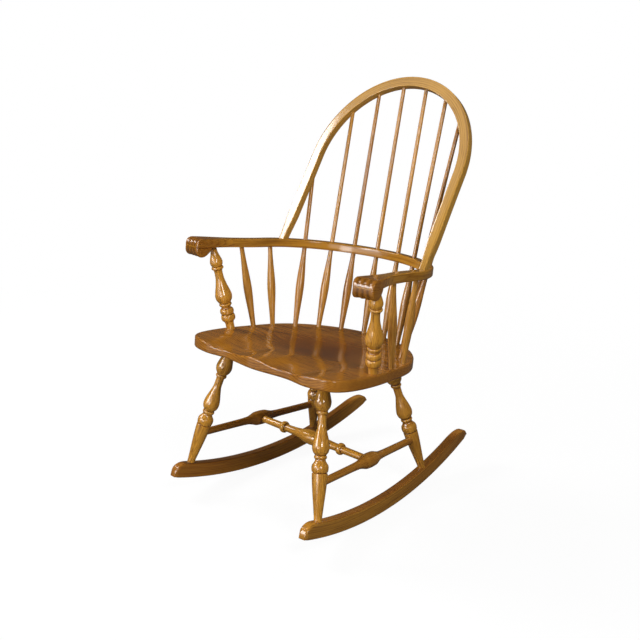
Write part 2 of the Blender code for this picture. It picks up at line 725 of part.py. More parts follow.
def make_rail(chair, parts, cutters):
    """Bent arm rail, one piece round the back and both arms, wider at the hands."""
    near_tip = [HAND_CORNER * (1.0 - math.cos(math.radians(a))) for a in (0, 30, 60, 90)]
    along_arm = [HAND_CORNER + (ARM_LENGTH - HAND_CORNER) * k / 8.0 for k in range(1, 9)]
    reaches = near_tip + along_arm
    arm = [chair.rail_arm(ARM_LENGTH - reach) for reach in reaches]
    widths = [hand_half_width(reach) for reach in reaches]
    back = [chair.rail_back(math.radians(angle)) for angle in range(80, -81, -8)]
    path = [(p.x, p.y) for p in arm] + [(p.x, p.y) for p in back] + [(-p.x, p.y) for p in reversed(arm)]
    half_widths = widths + [RAIL_WIDTH / 2.0] * len(back) + widths[::-1]
    frame = chair.rail @ Matrix.Translation((0.0, 0.0, -RAIL_THICKNESS / 2.0))
    rail = flat_outline("arm_rail", band(path, half_widths), RAIL_THICKNESS / 2.0, frame, parts)
    ease_edges(rail, RAIL_EASING, 2)
    shade_round(rail)
    for label, side in SIDES.items():
        cut(rail, as_cutter(hand_scroll(chair, "hand_scroll_" + label, side, cutters)))
    bores = []
    for side in SIDES.values():
        for foot, crossing, end in chair.long_routes:
            low = beyond(end, crossing, 2.0 * RAIL_THICKNESS)
            high = beyond(foot, crossing, 2.0 * RAIL_THICKNESS)
            bores.append((mirrored(low, side), mirrored(high, side), SPINDLE_RAIL))
        stands = [(chair.short_route(index), SPINDLE_RAIL) for index in range(len(SHORT_RING_ANGLES))]
        stands += [((chair.post_foot, chair.post_top), POST_TOP)]
        for (foot, end), radius in stands:
            inner = meet(chair.rail, CLEARANCE - RAIL_HOLE_FLOOR, foot, end)
            outer = beyond(inner, end, RAIL_THICKNESS)
            bores.append((mirrored(outer, side), mirrored(inner, side), radius))
        inner, outer = hoop_tenon(chair, CLEARANCE)
        bores.append((mirrored(outer, side), mirrored(inner, side), HOOP_TENON))
    drill(rail, bores, cutters)
    dress(rail, HONEY_OAK)


def hand_scroll(chair, name, side, cutters):
    """Cutter that rounds the top of an arm down to its tip as a quarter of an ellipse."""
    curve = []
    for angle in (0.0, 22.5, 45.0, 67.5):
        turn = math.radians(angle)
        curve.append((HAND_SCROLL * (1.0 - math.cos(turn)), -HAND_SCROLL_DROP * (1.0 - math.sin(turn))))
    above = (2.0 * HAND_SCROLL - curve[-1][0], -curve[-1][1])
    outline = curve + [above, (above[0], RAIL_THICKNESS), (-HAND_SCROLL, RAIL_THICKNESS)]
    outline += [(-HAND_SCROLL, -HAND_SCROLL_DROP)]
    return flat_outline(name, outline, HAND_WIDTH, chair.hand_frame(side), cutters)


def hoop_tenon(chair, extra):
    """Inner end of the hoop's right tenon, with an extra depth, and a point above it on its axis."""
    foot = chair.hoop @ chair.hoop_limb(0.0)
    above = chair.hoop @ chair.hoop_limb(HOOP_TAPER)
    inner = meet(chair.rail, RAIL_HOLE_FLOOR - RAIL_THICKNESS - extra, above, foot)
    return inner, beyond(inner, foot, 2.0 * RAIL_THICKNESS)


def make_hoop(chair, parts, cutters):
    """Bent hoop: a half round arch on two limbs, whose round tenons stand in the arm rail."""
    inner, _ = hoop_tenon(chair, 0.0)
    depth = (chair.hoop.inverted() @ inner).y
    heights = [depth, 0.0] + [HOOP_SPRING * k / 7.0 for k in range(1, 7)]
    limb = [chair.hoop_limb(max(height, 0.0)) + Vector((0.0, min(height, 0.0), 0.0)) for height in heights]
    arch = [chair.hoop_arch(HOOP_RADIUS * math.radians(angle)) for angle in range(90, -91, -6)]
    path = [(p.x, p.y) for p in limb] + [(p.x, p.y) for p in arch] + [(-p.x, p.y) for p in reversed(limb)]
    narrow = HOOP_WIDTH - HOOP_FOOT_WIDTH
    widths = [(HOOP_FOOT_WIDTH + narrow * ease(height / HOOP_TAPER)) / 2.0 for height in heights]
    half_widths = widths + [HOOP_WIDTH / 2.0] * len(arch) + widths[::-1]
    hoop = flat_outline("hoop", band(path, half_widths), HOOP_DEPTH / 2.0, chair.hoop, parts)
    ease_edges(hoop, HOOP_EASING, 2)
    shade_round(hoop)
    for label, side in SIDES.items():
        low, high = (mirrored(point, side) for point in hoop_tenon(chair, 0.0))
        shape = bmesh.new()
        size = Matrix.Diagonal((3.0 * HOOP_WIDTH, 5.0 * HOOP_DEPTH, 3.0 * RAIL_THICKNESS, 1.0))
        bmesh.ops.create_cube(shape, size=1.0, matrix=size)
        mesh = bpy.data.meshes.new("hoop_shoulder_" + label)
        shape.to_mesh(mesh)
        shape.free()
        foot = chair.rail.inverted() @ mirrored(chair.hoop @ chair.hoop_limb(0.0), side)
        middle = Vector((foot.x, foot.y, CLEARANCE - 1.5 * RAIL_THICKNESS))
        shoulder = place("hoop_shoulder_" + label, mesh, chair.rail @ Matrix.Translation(middle), cutters)
        length = (high - low).length
        core = [(-RAIL_THICKNESS, HOOP_TENON), (length, HOOP_TENON)]
        cut(shoulder, as_cutter(turned("hoop_tenon_" + label, low, high, core, HOLE_FACETS, cutters)))
        cut(hoop, as_cutter(shoulder))
    bores = []
    for side in SIDES.values():
        for foot, crossing, end in chair.long_routes:
            inner = beyond(foot, end, CLEARANCE)
            outer = beyond(inner, end, SPINDLE_TIP_RUN - 2.0 * CLEARANCE)
            bores.append((mirrored(outer, side), mirrored(inner, side), SPINDLE_TIP))
    drill(hoop, bores, cutters)
    dress(hoop, HOOP_OAK)


def make_hand_block(chair, name, side, parts):
    """Block glued under the front end of an arm, in line with it, with a round nose and a round heel."""
    top = -RAIL_THICKNESS - CLEARANCE
    quarter = [math.radians(angle) for angle in (0, 22.5, 45, 67.5, 90)]

    def curve(root, reach, turn):
        return root + reach * math.cos(turn), top - HAND_BLOCK_HEIGHT * math.sin(turn)

    outline = [curve(HAND_BLOCK_NOSE, -HAND_BLOCK_NOSE, turn) for turn in quarter]
    heel_root = HAND_BLOCK_LENGTH - HAND_BLOCK_HEEL
    outline += [curve(heel_root, HAND_BLOCK_HEEL, turn) for turn in reversed(quarter)]
    half_width = hand_half_width(HAND_BLOCK_LENGTH / 2.0)
    block = flat_outline(name, outline, half_width, chair.hand_frame(side), parts)
    ease_edges(block, RAIL_EASING / 2.0, 2)
    shade_round(block)
    dress(block, HONEY_OAK)


def main():
    """Build the chair piece by piece."""
    clear_scene()
    parts = new_collection(CHAIR)
    cutters = new_collection(CHAIR + "_cutters")
    chair = Chair()
    make_seat(chair, parts, cutters)
    make_rail(chair, parts, cutters)
    make_hoop(chair, parts, cutters)
    make_cross_stretcher(chair, parts)
    for label, side in SIDES.items():
        make_rocker(chair, "rocker_" + label, side, parts, cutters)
        for end in ("front", "rear"):
            make_leg(chair, end + "_leg_" + label, end, side, parts, cutters)
        make_side_stretcher(chair, "side_stretcher_" + label, side, parts, cutters)
        make_post(chair, "arm_post_" + label, side, parts)
        make_hand_block(chair, "hand_block_" + label, side, parts)
        for index in range(len(LONG_HOOP_ARCS)):
            make_long_spindle(chair, "long_spindle_%s_%d" % (label, index + 1), index, side, parts)
        for index in range(len(SHORT_RING_ANGLES)):
            make_short_spindle(chair, "short_spindle_%s_%d" % (label, index + 1), index, side, parts)


main()
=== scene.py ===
"""Finished windsor rocking chair: turned, bent and carved oak in a plain studio.

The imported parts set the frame. Every wooden piece is replaced by a finer surface worked out from the same
driving sizes, and carries its own grain as a vector attribute that its varnish reads. Sizes are metres, and
the radii of turned pieces are millimetres.
"""

import logging
import math
from dataclasses import dataclass, field
from enum import Enum
from functools import cached_property

import bpy
import numpy as np
from mathutils import Matrix


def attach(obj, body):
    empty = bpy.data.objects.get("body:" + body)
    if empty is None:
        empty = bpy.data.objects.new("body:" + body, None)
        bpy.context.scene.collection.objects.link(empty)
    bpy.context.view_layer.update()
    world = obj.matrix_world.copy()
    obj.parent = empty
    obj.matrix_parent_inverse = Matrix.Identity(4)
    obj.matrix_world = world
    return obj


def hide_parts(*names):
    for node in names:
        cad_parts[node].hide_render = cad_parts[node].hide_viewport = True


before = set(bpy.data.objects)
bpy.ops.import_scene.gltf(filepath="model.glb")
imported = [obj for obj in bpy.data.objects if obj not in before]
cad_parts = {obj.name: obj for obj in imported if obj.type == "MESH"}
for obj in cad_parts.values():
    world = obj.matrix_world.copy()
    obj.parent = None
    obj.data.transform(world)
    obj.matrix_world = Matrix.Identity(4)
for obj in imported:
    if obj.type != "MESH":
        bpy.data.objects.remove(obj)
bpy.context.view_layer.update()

Array = np.ndarray
Colour = tuple[float, float, float]
Pairs = tuple[tuple[float, float], ...]
Sizes = np.ndarray | float
LOG = logging.getLogger("windsor_rocker")
BODY = "root"

# Attributes of a piece that its varnish reads.
GRAIN = "grain"
# The second attribute holds real wear and stains together with painted shade.
WEAR_AND_SHADE = "wear_and_shade"

MM = 0.001
QUARTER = math.pi / 2.0
UP = np.array([0.0, 0.0, 1.0])
WHITE = (1.0, 1.0, 1.0, 1.0)
NEARLY_UPRIGHT = 0.9

# Rows of a turning, and the depth and width of a groove that takes the full painted crevice shade and dark
# glaze.
LEAST_STEP = 1e-6
LEAST_ROWS = 3
BEAD_ROWS = 13
GROOVE_REACH = 0.006
GROOVE_DEPTH = 0.0016

# Points on the corner of a rounded section, and the share of the section that corners may take.
CORNER_POINTS = 7
CORNER_LIMIT = 0.98

NOISE_ROUGHNESS = 0.55
PLANK_SEED = 11


class Side(Enum):
    """The two sides of the chair, seen from the front, with the sign of X there."""

    LEFT = -1
    RIGHT = 1

    @property
    def label(self) -> str:
        """The side's name in the pieces' names."""
        return self.name.lower()

    def of(self, points: Array) -> Array:
        """Points of the right side, or their mirror images on the left."""
        return np.asarray(points) * np.array([self.value, 1.0, 1.0])


class End(Enum):
    """The two ends of the chair."""

    FRONT = "front"
    REAR = "rear"


class Wood(Enum):
    """The finishes of the chair, by the slots of the record."""

    SEAT = "seat_wood"
    TURNED = "turned_wood"
    SPINDLE = "spindle_wood"
    ARM = "arm_wood"
    HOOP = "hoop_wood"
    ROCKER = "rocker_wood"


class Stroke(Enum):
    """How a turning tool shapes a stretch of a turned piece."""

    SWEEP = "a smooth curve through its points"
    BEAD = "a half round between two shoulders"


class Figure(Enum):
    """Soft patterns in the wood: waves a metre across the grain, the share of that along it, and detail."""

    DRIFT = (17.0, 0.16, 2.0)
    CLOUD = (13.0, 0.30, 2.0)
    STREAK = (190.0, 0.03, 2.0)
    FIBRE = (520.0, 0.018, 3.0)
    PORES = (1500.0, 0.022, 1.0)


def ease(share: Array) -> Array:
    """Smooth step 3s² - 2s³, held at 0 below s = 0 and at 1 above s = 1."""
    held = np.clip(share, 0.0, 1.0)
    return held * held * (3.0 - 2.0 * held)


def unit(vectors: Array) -> Array:
    """Vectors shortened or stretched to a length of one."""
    return vectors / np.linalg.norm(vectors, axis=-1, keepdims=True)


def span(start: Array, end: Array) -> float:
    """Distance between two points."""
    return float(np.linalg.norm(end - start))


def distances(path: Array) -> Array:
    """Distance along a path at each of its points."""
    return np.concatenate([[0.0], np.cumsum(np.linalg.norm(np.diff(path, axis=0), axis=1))])


def crowded(length: float, rows: int, least: float) -> Array:
    """Distances from a rounded end, closest together there: length · (1 - cos a), up to a quarter turn."""
    return length * (1.0 - np.cos(np.linspace(least, QUARTER, rows)))


def sideways(path: Array) -> Array:
    """Direction across a flat path, to its right, at each point."""
    ahead = unit(np.gradient(path, axis=0))
    return np.stack([ahead[:, 1], -ahead[:, 0], 0.0 * ahead[:, 0]], axis=-1)


def cubic(t: Array, start: Array, stop: Array, leaving: Array, arriving: Array) -> Array:
    """Cubic between two values, with a slope at each of them.

    The curve is (1 + 2t)(1 - t)² · start + t(1 - t)² · leaving + t²(3 - 2t) · stop + t²(t - 1) · arriving.

    Args:
        t: Share of the way, from 0 to 1.
        start: Value at the start.
        stop: Value at the end.
        leaving: Slope at the start, times the way's length.
        arriving: Slope at the end, times the way's length.

    Returns:
        The curve's values.
    """
    head = (1.0 + 2.0 * t) * (1.0 - t) ** 2 * start + t * (1.0 - t) ** 2 * leaving
    tail = t * t * (3.0 - 2.0 * t) * stop + t * t * (t - 1.0) * arriving
    return head + tail


def through(knots: Array, values: Array, at: Array) -> Array:
    """Smooth curve through knots that never overshoots them.

    Every stretch is a cubic with the values and slopes of its two knots. A knot's slope is the harmonic mean
    of the two chords beside it, or nothing where the curve turns there.

    Args:
        knots: Rising places of the knots.
        values: Values at the knots.
        at: Places to work the curve out at.

    Returns:
        The curve's values.
    """
    step = np.diff(knots)
    chord = np.diff(values) / step
    before, after = chord[:-1], chord[1:]
    turning = before * after <= 0.0
    mean = np.where(turning, 0.0, 2.0 * before * after / np.where(turning, 1.0, before + after))
    slope = np.concatenate([chord[:1], mean, chord[-1:]])
    low = np.clip(np.searchsorted(knots, at, side="right") - 1, 0, len(step) - 1)
    t = (at - knots[low]) / step[low]
    return cubic(t, values[low], values[low + 1], step[low] * slope[low], step[low] * slope[low + 1])


@dataclass(frozen=True)
class Placing:
    """A place with three square directions, kept as the rows of axes."""

    origin: Array
    axes: Array

    @classmethod
    def sloping(cls, lead: float, height: float, slope: float) -> "Placing":
        """Place on the middle plane whose XY plane falls towards the back by a slope."""
        rise, run = math.sin(slope), math.cos(slope)
        return cls(np.array([0.0, -lead, height]), np.array([[1, 0, 0], [0, run, -rise], [0, rise, run]]))

    @classmethod
    def along(cls, start: Array, end: Array) -> "Placing":
        """Place with its Z direction from one point to another.

        Args:
            start: The place's origin.
            end: The point that Z runs towards.

        Returns:
            The place, with X level unless Z is nearly upright.
        """
        ahead = unit(end - start)
        helper = UP if abs(ahead[2]) < NEARLY_UPRIGHT else np.array([0.0, 1.0, 0.0])
        across = unit(np.cross(helper, ahead))
        return cls(start, np.stack([across, np.cross(ahead, across), ahead]))

    def out(self, local: Array) -> Array:
        """Points given in this place, in the chair's frame."""
        return self.origin + np.asarray(local) @ self.axes

    def into(self, points: Array) -> Array:
        """Points of the chair's frame, given in this place."""
        return (np.asarray(points) - self.origin) @ self.axes.T

    def meet(self, level: float, start: Array, toward: Array) -> Array:
        """Point where the line from start through toward crosses a level above this place's XY plane."""
        low, high = self.into(start)[2], self.into(toward)[2]
        return start + (toward - start) * ((level - low) / (high - low))


@dataclass(frozen=True)
class ChairLines:
    """The lines that the bent pieces follow, and the points where the chair's pieces meet.

    The arm rail is the master line. The hoop stands on it, the long spindles run from the hoop through it to
    the seat, the seat is drawn round their feet, and legs and stretchers hang from the seat.
    """

    lead: float = 0.004

    # Seat.
    seat_height: float = 0.397
    seat_slope: float = math.radians(7.0)
    seat_thickness: float = 0.030
    seat_margin: float = 0.0145
    seat_fore: float = 0.217
    spindle_ring: float = 0.246

    # Arm rail.
    rail_height: float = 0.6405
    rail_slope: float = math.radians(8.45)
    rail_thickness: float = 0.023
    rail_half_span: float = 0.256
    rail_depth: float = 0.228
    rail_spring: float = 0.009
    arm_length: float = 0.224
    arm_flare: float = 0.041
    arm_run: float = 0.260

    # Hoop.
    hoop_radius: float = 0.2415
    hoop_spring: float = 0.2545
    hoop_lean: float = math.radians(32.2)
    hoop_foot_angle: float = math.radians(73.0)

    # Spindles and arm posts.
    long_rail_angles: tuple[float, ...] = tuple(math.radians(angle) for angle in (8.2, 24.2, 39.3, 57.2))
    long_hoop_arcs: tuple[float, ...] = (0.0380, 0.1175, 0.2065, 0.4120)
    short_ring_angles: tuple[float, ...] = tuple(math.radians(angle) for angle in (71.3, 86.2))
    short_rear_angle: float = math.radians(83.5)
    short_front_reach: float = 0.073
    post_reach: float = 0.159
    post_splay: float = math.radians(7.8)
    post_rake: float = math.radians(6.8)
    post_margin: float = 0.0165

    # Rockers.
    rocker_radius: float = 1.030
    rocker_height: float = 0.040
    rocker_gauge: float = 0.426
    rocker_toe_in: float = math.radians(4.0)
    rocker_contact: float = -0.023
    rocker_flat: float = 0.034

    # Legs and stretchers.
    front_foot: float = -0.302
    rear_foot: float = 0.143
    front_leg_side: float = 0.1025
    front_leg_back: float = 0.079
    rear_leg_inset: float = 0.059
    rear_leg_angle: float = math.radians(39.4)
    stretcher_station: float = 0.735
    stretcher_gap: float = 0.005

    @cached_property
    def seat(self) -> Placing:
        """Place of the seat's deck."""
        return Placing.sloping(self.lead, self.seat_height, self.seat_slope)

    @cached_property
    def rail(self) -> Placing:
        """Place of the rail's top face."""
        return Placing.sloping(self.lead, self.rail_height, self.rail_slope)

    @cached_property
    def rail_under(self) -> Array:
        """Step from the rail's top face down to its underside, in its place."""
        return -self.rail_thickness * UP

    @cached_property
    def hoop(self) -> Placing:
        """Place of the hoop: Y up along it and Z out of its front face.

        Returns:
            The place, on the middle plane between the hoop's feet.
        """
        foot = self.rail.out(self.rail_back(self.hoop_foot_angle))
        lean, rise = math.sin(self.hoop_lean), math.cos(self.hoop_lean)
        axes = np.array([[1.0, 0.0, 0.0], [0.0, lean, rise], [0.0, -rise, lean]])
        return Placing(np.array([0.0, foot[1], foot[2]]), axes)

    @cached_property
    def hoop_foot(self) -> float:
        """Half the distance between the hoop's feet."""
        return float(self.rail.out(self.rail_back(self.hoop_foot_angle))[0])

    def rail_back(self, angle: Sizes) -> Array:
        """Rail's middle line round the back, in its place: an ellipse (a · sin t, b · cos t).

        Args:
            angle: Angle t round the back, from its middle.

        Returns:
            Points of the line.
        """
        x = self.rail_half_span * np.sin(angle)
        y = self.rail_spring + self.rail_depth * np.cos(angle)
        return np.stack([x, y, 0.0 * x], axis=-1)

    def rail_arm(self, reach: Sizes) -> Array:
        """Rail's middle line along the right arm, in its place: straight ahead, and flaring by a smooth step.

        Args:
            reach: Distance ahead of where the arm begins.

        Returns:
            Points of the line.
        """
        reach = np.asarray(reach, float)
        x = self.rail_half_span + self.arm_flare * ease(reach / self.arm_run)
        return np.stack([x, self.rail_spring - reach, 0.0 * x], axis=-1)

    def hoop_arch(self, arc: Sizes) -> Array:
        """Hoop's middle line over its top, in its place: a half circle.

        Args:
            arc: Distance round the circle from its top.

        Returns:
            Points of the line.
        """
        angle = np.asarray(arc, float) / self.hoop_radius
        x, y = self.hoop_radius * np.sin(angle), self.hoop_spring + self.hoop_radius * np.cos(angle)
        return np.stack([x, y, 0.0 * x], axis=-1)

    def hoop_limb(self, height: Array) -> Array:
        """Hoop's middle line up the right limb, in its place: a parabola that bends in towards the foot.

        Args:
            height: Height on the limb.

        Returns:
            Points of the line.
        """
        share = (self.hoop_spring - np.asarray(height, float)) / self.hoop_spring
        x = self.hoop_radius - (self.hoop_radius - self.hoop_foot) * share * share
        return np.stack([x, height + 0.0 * x, 0.0 * x], axis=-1)

    def long_route(self, index: int) -> tuple[Array, Array, Array]:
        """Route of a long spindle on the right.

        Args:
            index: Its number, from the middle of the back.

        Returns:
            Its foot on the seat, its crossing in the rail and its end in the hoop.
        """
        middle = self.rail_back(self.long_rail_angles[index])
        crossing = self.rail.out(middle + self.rail_under / 2.0)
        end = self.hoop.out(self.hoop_arch(self.long_hoop_arcs[index]))
        return self.seat.meet(0.0, end, crossing), crossing, end

    @cached_property
    def ring_centre(self) -> float:
        """Distance of the spindle ring's centre behind the seat's place."""
        foot = self.seat.into(self.long_route(0)[0])
        return float(foot[1] - math.sqrt(self.spindle_ring**2 - foot[0] ** 2))

    def ring_point(self, angle: float, radius: float, level: float) -> Array:
        """Point round the spindle ring's centre, at an angle from the back and a level above the deck."""
        side, back = radius * math.sin(angle), self.ring_centre + radius * math.cos(angle)
        return self.seat.out(np.array([side, back, level]))

    def short_route(self, index: int) -> tuple[Array, Array]:
        """Route of a short spindle on the right.

        Args:
            index: Its number, from the rear.

        Returns:
            Its foot on the seat and its end under the rail.
        """
        foot = self.ring_point(self.short_ring_angles[index], self.spindle_ring, 0.0)
        rear, front = self.rail_back(self.short_rear_angle), self.rail_arm(self.short_front_reach)
        return foot, self.rail.out((rear, front)[index] + self.rail_under)

    @cached_property
    def post_top(self) -> Array:
        """Top of the right arm post, under the rail."""
        return self.rail.out(self.rail_arm(self.post_reach) + self.rail_under)

    @cached_property
    def post_foot(self) -> Array:
        """Foot of the right arm post, on the seat."""
        lean = np.array([-math.tan(self.post_splay), math.tan(self.post_rake), -1.0])
        return self.seat.meet(0.0, self.post_top, self.post_top + lean)

    @cached_property
    def seat_edge(self) -> float:
        """Radius of the seat's round back edge."""
        return self.spindle_ring + self.seat_margin

    @cached_property
    def seat_side(self) -> float:
        """Half the seat's width across its front."""
        return float(self.seat.into(self.post_foot)[0] + self.post_margin)

    @cached_property
    def seat_front(self) -> float:
        """Distance of the seat's front edge behind its place."""
        return self.ring_centre - self.seat_fore

    def rocker(self, side: Side) -> Placing:
        """Place of a rocker on the floor: X along it to the back, Y up and Z across it.

        Args:
            side: The rocker's side.

        Returns:
            The place, turned by the toe-in.
        """
        turn = self.rocker_toe_in
        along = np.array([-side.value * math.sin(turn), math.cos(turn), 0.0])
        origin = np.array([side.value * self.rocker_gauge / 2.0, 0.0, 0.0])
        return Placing(origin, np.stack([along, UP, np.cross(along, UP)]))

    def rocker_rise(self, along: Sizes, inset: Sizes) -> Sizes:
        """Height of an arc round the rocker's centre: c - sqrt(r² - x²), with the flat's ends on the floor.

        Args:
            along: Place along the rocker.
            inset: How far the arc lies above the rocker's underside.

        Returns:
            The arc's heights.
        """
        radius = self.rocker_radius - inset
        centre = self.rocker_radius * math.cos(self.rocker_flat / self.rocker_radius / 2.0)
        return centre - np.sqrt(radius**2 - (along - self.rocker_contact) ** 2)

    def leg_ends(self, end: End, side: Side) -> tuple[Array, Array]:
        """Ends of a leg.

        Args:
            end: The leg's end of the chair.
            side: The leg's side.

        Returns:
            Its top in the seat's underside and its foot on the rocker.
        """
        if end is End.FRONT:
            across = self.seat_side - self.front_leg_side
            back = self.seat_front + self.front_leg_back
            top = self.seat.out(np.array([across, back, -self.seat_thickness]))
            along = self.front_foot
        else:
            radius = self.seat_edge - self.rear_leg_inset
            top = self.ring_point(self.rear_leg_angle, radius, -self.seat_thickness)
            along = self.rear_foot
        rise = self.rocker_rise(along, self.rocker_height)
        return side.of(top), self.rocker(side).out(np.array([along, rise, 0.0]))

    def stretcher_ends(self, side: Side) -> tuple[Array, Array]:
        """Ends of a side stretcher, inside the legs.

        Args:
            side: The stretcher's side.

        Returns:
            Its front and its rear end.
        """
        ends = [self.leg_ends(end, side) for end in End]
        front, rear = (top + (foot - top) * self.stretcher_station for top, foot in ends)
        ahead = unit(rear - front) * self.stretcher_gap
        return front + ahead, rear - ahead

    def cross_ends(self) -> tuple[Array, Array]:
        """Ends of the cross stretcher, inside the side stretchers.

        Returns:
            Its left and its right end.
        """
        left, right = (sum(self.stretcher_ends(side)) / 2.0 for side in Side)
        inward = np.array([self.stretcher_gap, 0.0, 0.0])
        return left + inward, right - inward


@dataclass
class Surface:
    """A closed surface with the wood's own coordinates and its wear and painted shade at every point."""

    points: Array
    quads: Array
    ends: Array
    grain: Array
    wear_and_shade: Array

    @staticmethod
    def with_poles(values: Array) -> Array:
        """Rows of loops as one list, followed by the mean of the first loop and of the last one."""
        rows = values.reshape(*values.shape[:2], -1)
        return np.concatenate([rows.reshape(-1, rows.shape[-1]), rows[[0, -1]].mean(axis=1)])

    @classmethod
    def tube(cls, grid: Array, grain: Array, wear_and_shade: Array) -> "Surface":
        """Skin over rows of closed loops, with a fan over the first and the last loop.

        Args:
            grid: Points by row, by place in the loop.
            grain: Wood coordinates of the same points.
            wear_and_shade: Hollow (above 0) or ridge (below 0) at the same points, darkened above 0 by
                painted shade as well as wear.

        Returns:
            The closed surface, with its faces outwards.
        """
        rows, loop = grid.shape[:2]
        index = np.arange(rows * loop).reshape(rows, loop)
        following = np.roll(index, -1, axis=1)
        quads = np.stack([index[:-1], following[:-1], following[1:], index[1:]], axis=-1).reshape(-1, 4)
        pole = np.full(loop, rows * loop)
        first = np.stack([pole, following[0], index[0]], axis=-1)
        last = np.stack([pole + 1, index[-1], following[-1]], axis=-1)
        ends = np.concatenate([first, last])
        points = cls.with_poles(grid)
        corners = points[np.concatenate([quads[:, [0, 1, 2]], quads[:, [0, 2, 3]], ends])]
        volume = np.einsum("ij,ij->i", corners[:, 0], np.cross(corners[:, 1], corners[:, 2])).sum()
        if volume < 0.0:
            quads, ends = quads[:, ::-1], ends[:, ::-1]
        return cls(points, quads, ends, cls.with_poles(grain), cls.with_poles(wear_and_shade)[:, 0])

    def stain(self, wear_and_shade: Array) -> None:
        """Set the wear and painted shade of every point but the two poles, by row and place in the loop."""
        self.wear_and_shade[: wear_and_shade.size] = wear_and_shade.ravel()


@dataclass(frozen=True)
class Cut:
    """One stretch of a turned piece: shares of its shank, and radii in millimetres."""

    stroke: Stroke
    shares: tuple[float, ...]
    radii: tuple[float, ...]

    def mirrored(self) -> "Cut":
        """The same stretch on the other side of a middle. A bead keeps its shoulder and crown."""
        radii = self.radii if self.stroke is Stroke.BEAD else self.radii[::-1]
        return Cut(self.stroke, tuple(-share for share in self.shares[::-1]), radii)

    def outline(self, shank: float, spacing: float) -> tuple[Array, Array]:
        """Heights and radii along the stretch.

        A sweep is a smooth curve through its points. A bead is a half ellipse from shoulder to shoulder:
        radius = shoulder + (crown - shoulder) · sin a, height = middle - half · cos a.

        Args:
            shank: Length that a share of one stands for.
            spacing: Greatest distance between two heights of a sweep.

        Returns:
            Heights and radii, in metres.
        """
        low, high = self.shares[0], self.shares[-1]
        if self.stroke is Stroke.BEAD:
            turn = np.linspace(0.0, math.pi, BEAD_ROWS)
            shoulder, crown = self.radii
            heights = (low + high) / 2.0 - (high - low) / 2.0 * np.cos(turn)
            return heights * shank, (shoulder + (crown - shoulder) * np.sin(turn)) * MM
        count = max(LEAST_ROWS, math.ceil((high - low) * shank / spacing) + 1)
        shares = np.linspace(low, high, count)
        return shares * shank, through(np.array(self.shares), np.array(self.radii), shares) * MM


def hollowness(heights: Array, radii: Array, reach: float, depth: float) -> Array:
    """Wear and painted crevice shade along a turning: how far its radius lies under (above 0) or over its
    mean nearby.

    Args:
        heights: Rising heights of the profile.
        radii: Radii of the profile.
        reach: About half the stretch that the mean is taken over.
        depth: Difference that counts as one.

    Returns:
        Wear and painted shade from -1, a rubbed ridge, to 1, a shaded groove.
    """
    steps = 13
    fine = np.arange(heights[0], heights[-1], reach / (steps - 1))
    window = np.hanning(2 * steps + 1)
    padded = np.pad(np.interp(fine, heights, radii), steps, mode="edge")
    mean = np.convolve(padded, window / window.sum(), mode="valid")
    return np.clip((np.interp(heights, fine, mean) - radii) / depth, -1.0, 1.0)


def turned(place: Placing, cuts: tuple[Cut, ...], shank: float, facets: int, spacing: float) -> Surface:
    """Turned piece: a profile of radius by height, carried once round the place's Z direction.

    A point is (r(h) · cos a, r(h) · sin a, h). The grain runs along the piece, straight through the turning.

    Args:
        place: Where the shank begins, with Z along it.
        cuts: The stretches of the turning, in order.
        shank: Length that a share of one stands for.
        facets: Points round the piece.
        spacing: Greatest distance between two rows.

    Returns:
        The closed surface.
    """
    heights, radii = (np.concatenate(part) for part in zip(*(cut.outline(shank, spacing) for cut in cuts)))
    kept = np.concatenate([[True], np.diff(heights) > LEAST_STEP])
    heights, radii = heights[kept], radii[kept]
    angle = np.linspace(0.0, 2.0 * math.pi, facets, endpoint=False)
    across, back = (np.outer(radii, turn) for turn in (np.cos(angle), np.sin(angle)))
    local = np.stack([across, back, heights[:, None] + 0.0 * angle], axis=-1)
    # Grooves get painted crevice shade and dark glaze, and ridges are rubbed pale.
    wear_and_shade = hollowness(heights, radii, GROOVE_REACH, GROOVE_DEPTH)[:, None] + 0.0 * angle
    return Surface.tube(place.out(local), local, wear_and_shade)


def rounded_section(
    half: Array, top: Sizes, low: Sizes, ease_top: Sizes, ease_low: Sizes, flats: int
) -> Array:
    """Loops of rounded rectangles, one for each row. A size that is one number holds for all rows.

    Each corner is a quarter circle of its easing, and the top and the underside between the corners are
    straight runs of equal steps.

    Args:
        half: Half width of each row.
        top: Height of the top face of each row.
        low: Height of the underside of each row.
        ease_top: Easing of the upper corners.
        ease_low: Easing of the lower corners.
        flats: Points on the top and on the underside, between the corners.

    Returns:
        Across and up coordinates by row, by place in the loop.
    """
    limit = np.minimum(half, (top - low) / 2.0) * CORNER_LIMIT
    upper, lower = np.minimum(ease_top, limit)[:, None], np.minimum(ease_low, limit)[:, None]
    half, top, low = (np.broadcast_to(size, limit.shape)[:, None] for size in (half, top, low))
    quarter = np.linspace(0.0, QUARTER, CORNER_POINTS)
    run = np.linspace(1.0, -1.0, flats + 2)[1:-1]
    right = (half - upper + upper * np.cos(quarter), top - upper + upper * np.sin(quarter))
    left = (-half + upper - upper * np.sin(quarter), top - upper + upper * np.cos(quarter))
    under_left = (-half + lower - lower * np.cos(quarter), low + lower - lower * np.sin(quarter))
    under_right = (half - lower + lower * np.sin(quarter), low + lower - lower * np.cos(quarter))
    deck = ((half - upper) * run, top + 0.0 * run)
    under = (-(half - lower) * run, low + 0.0 * run)
    order = (right, deck, left, under_left, under, under_right)
    return np.stack([np.concatenate(part, axis=1) for part in zip(*order)], axis=-1)


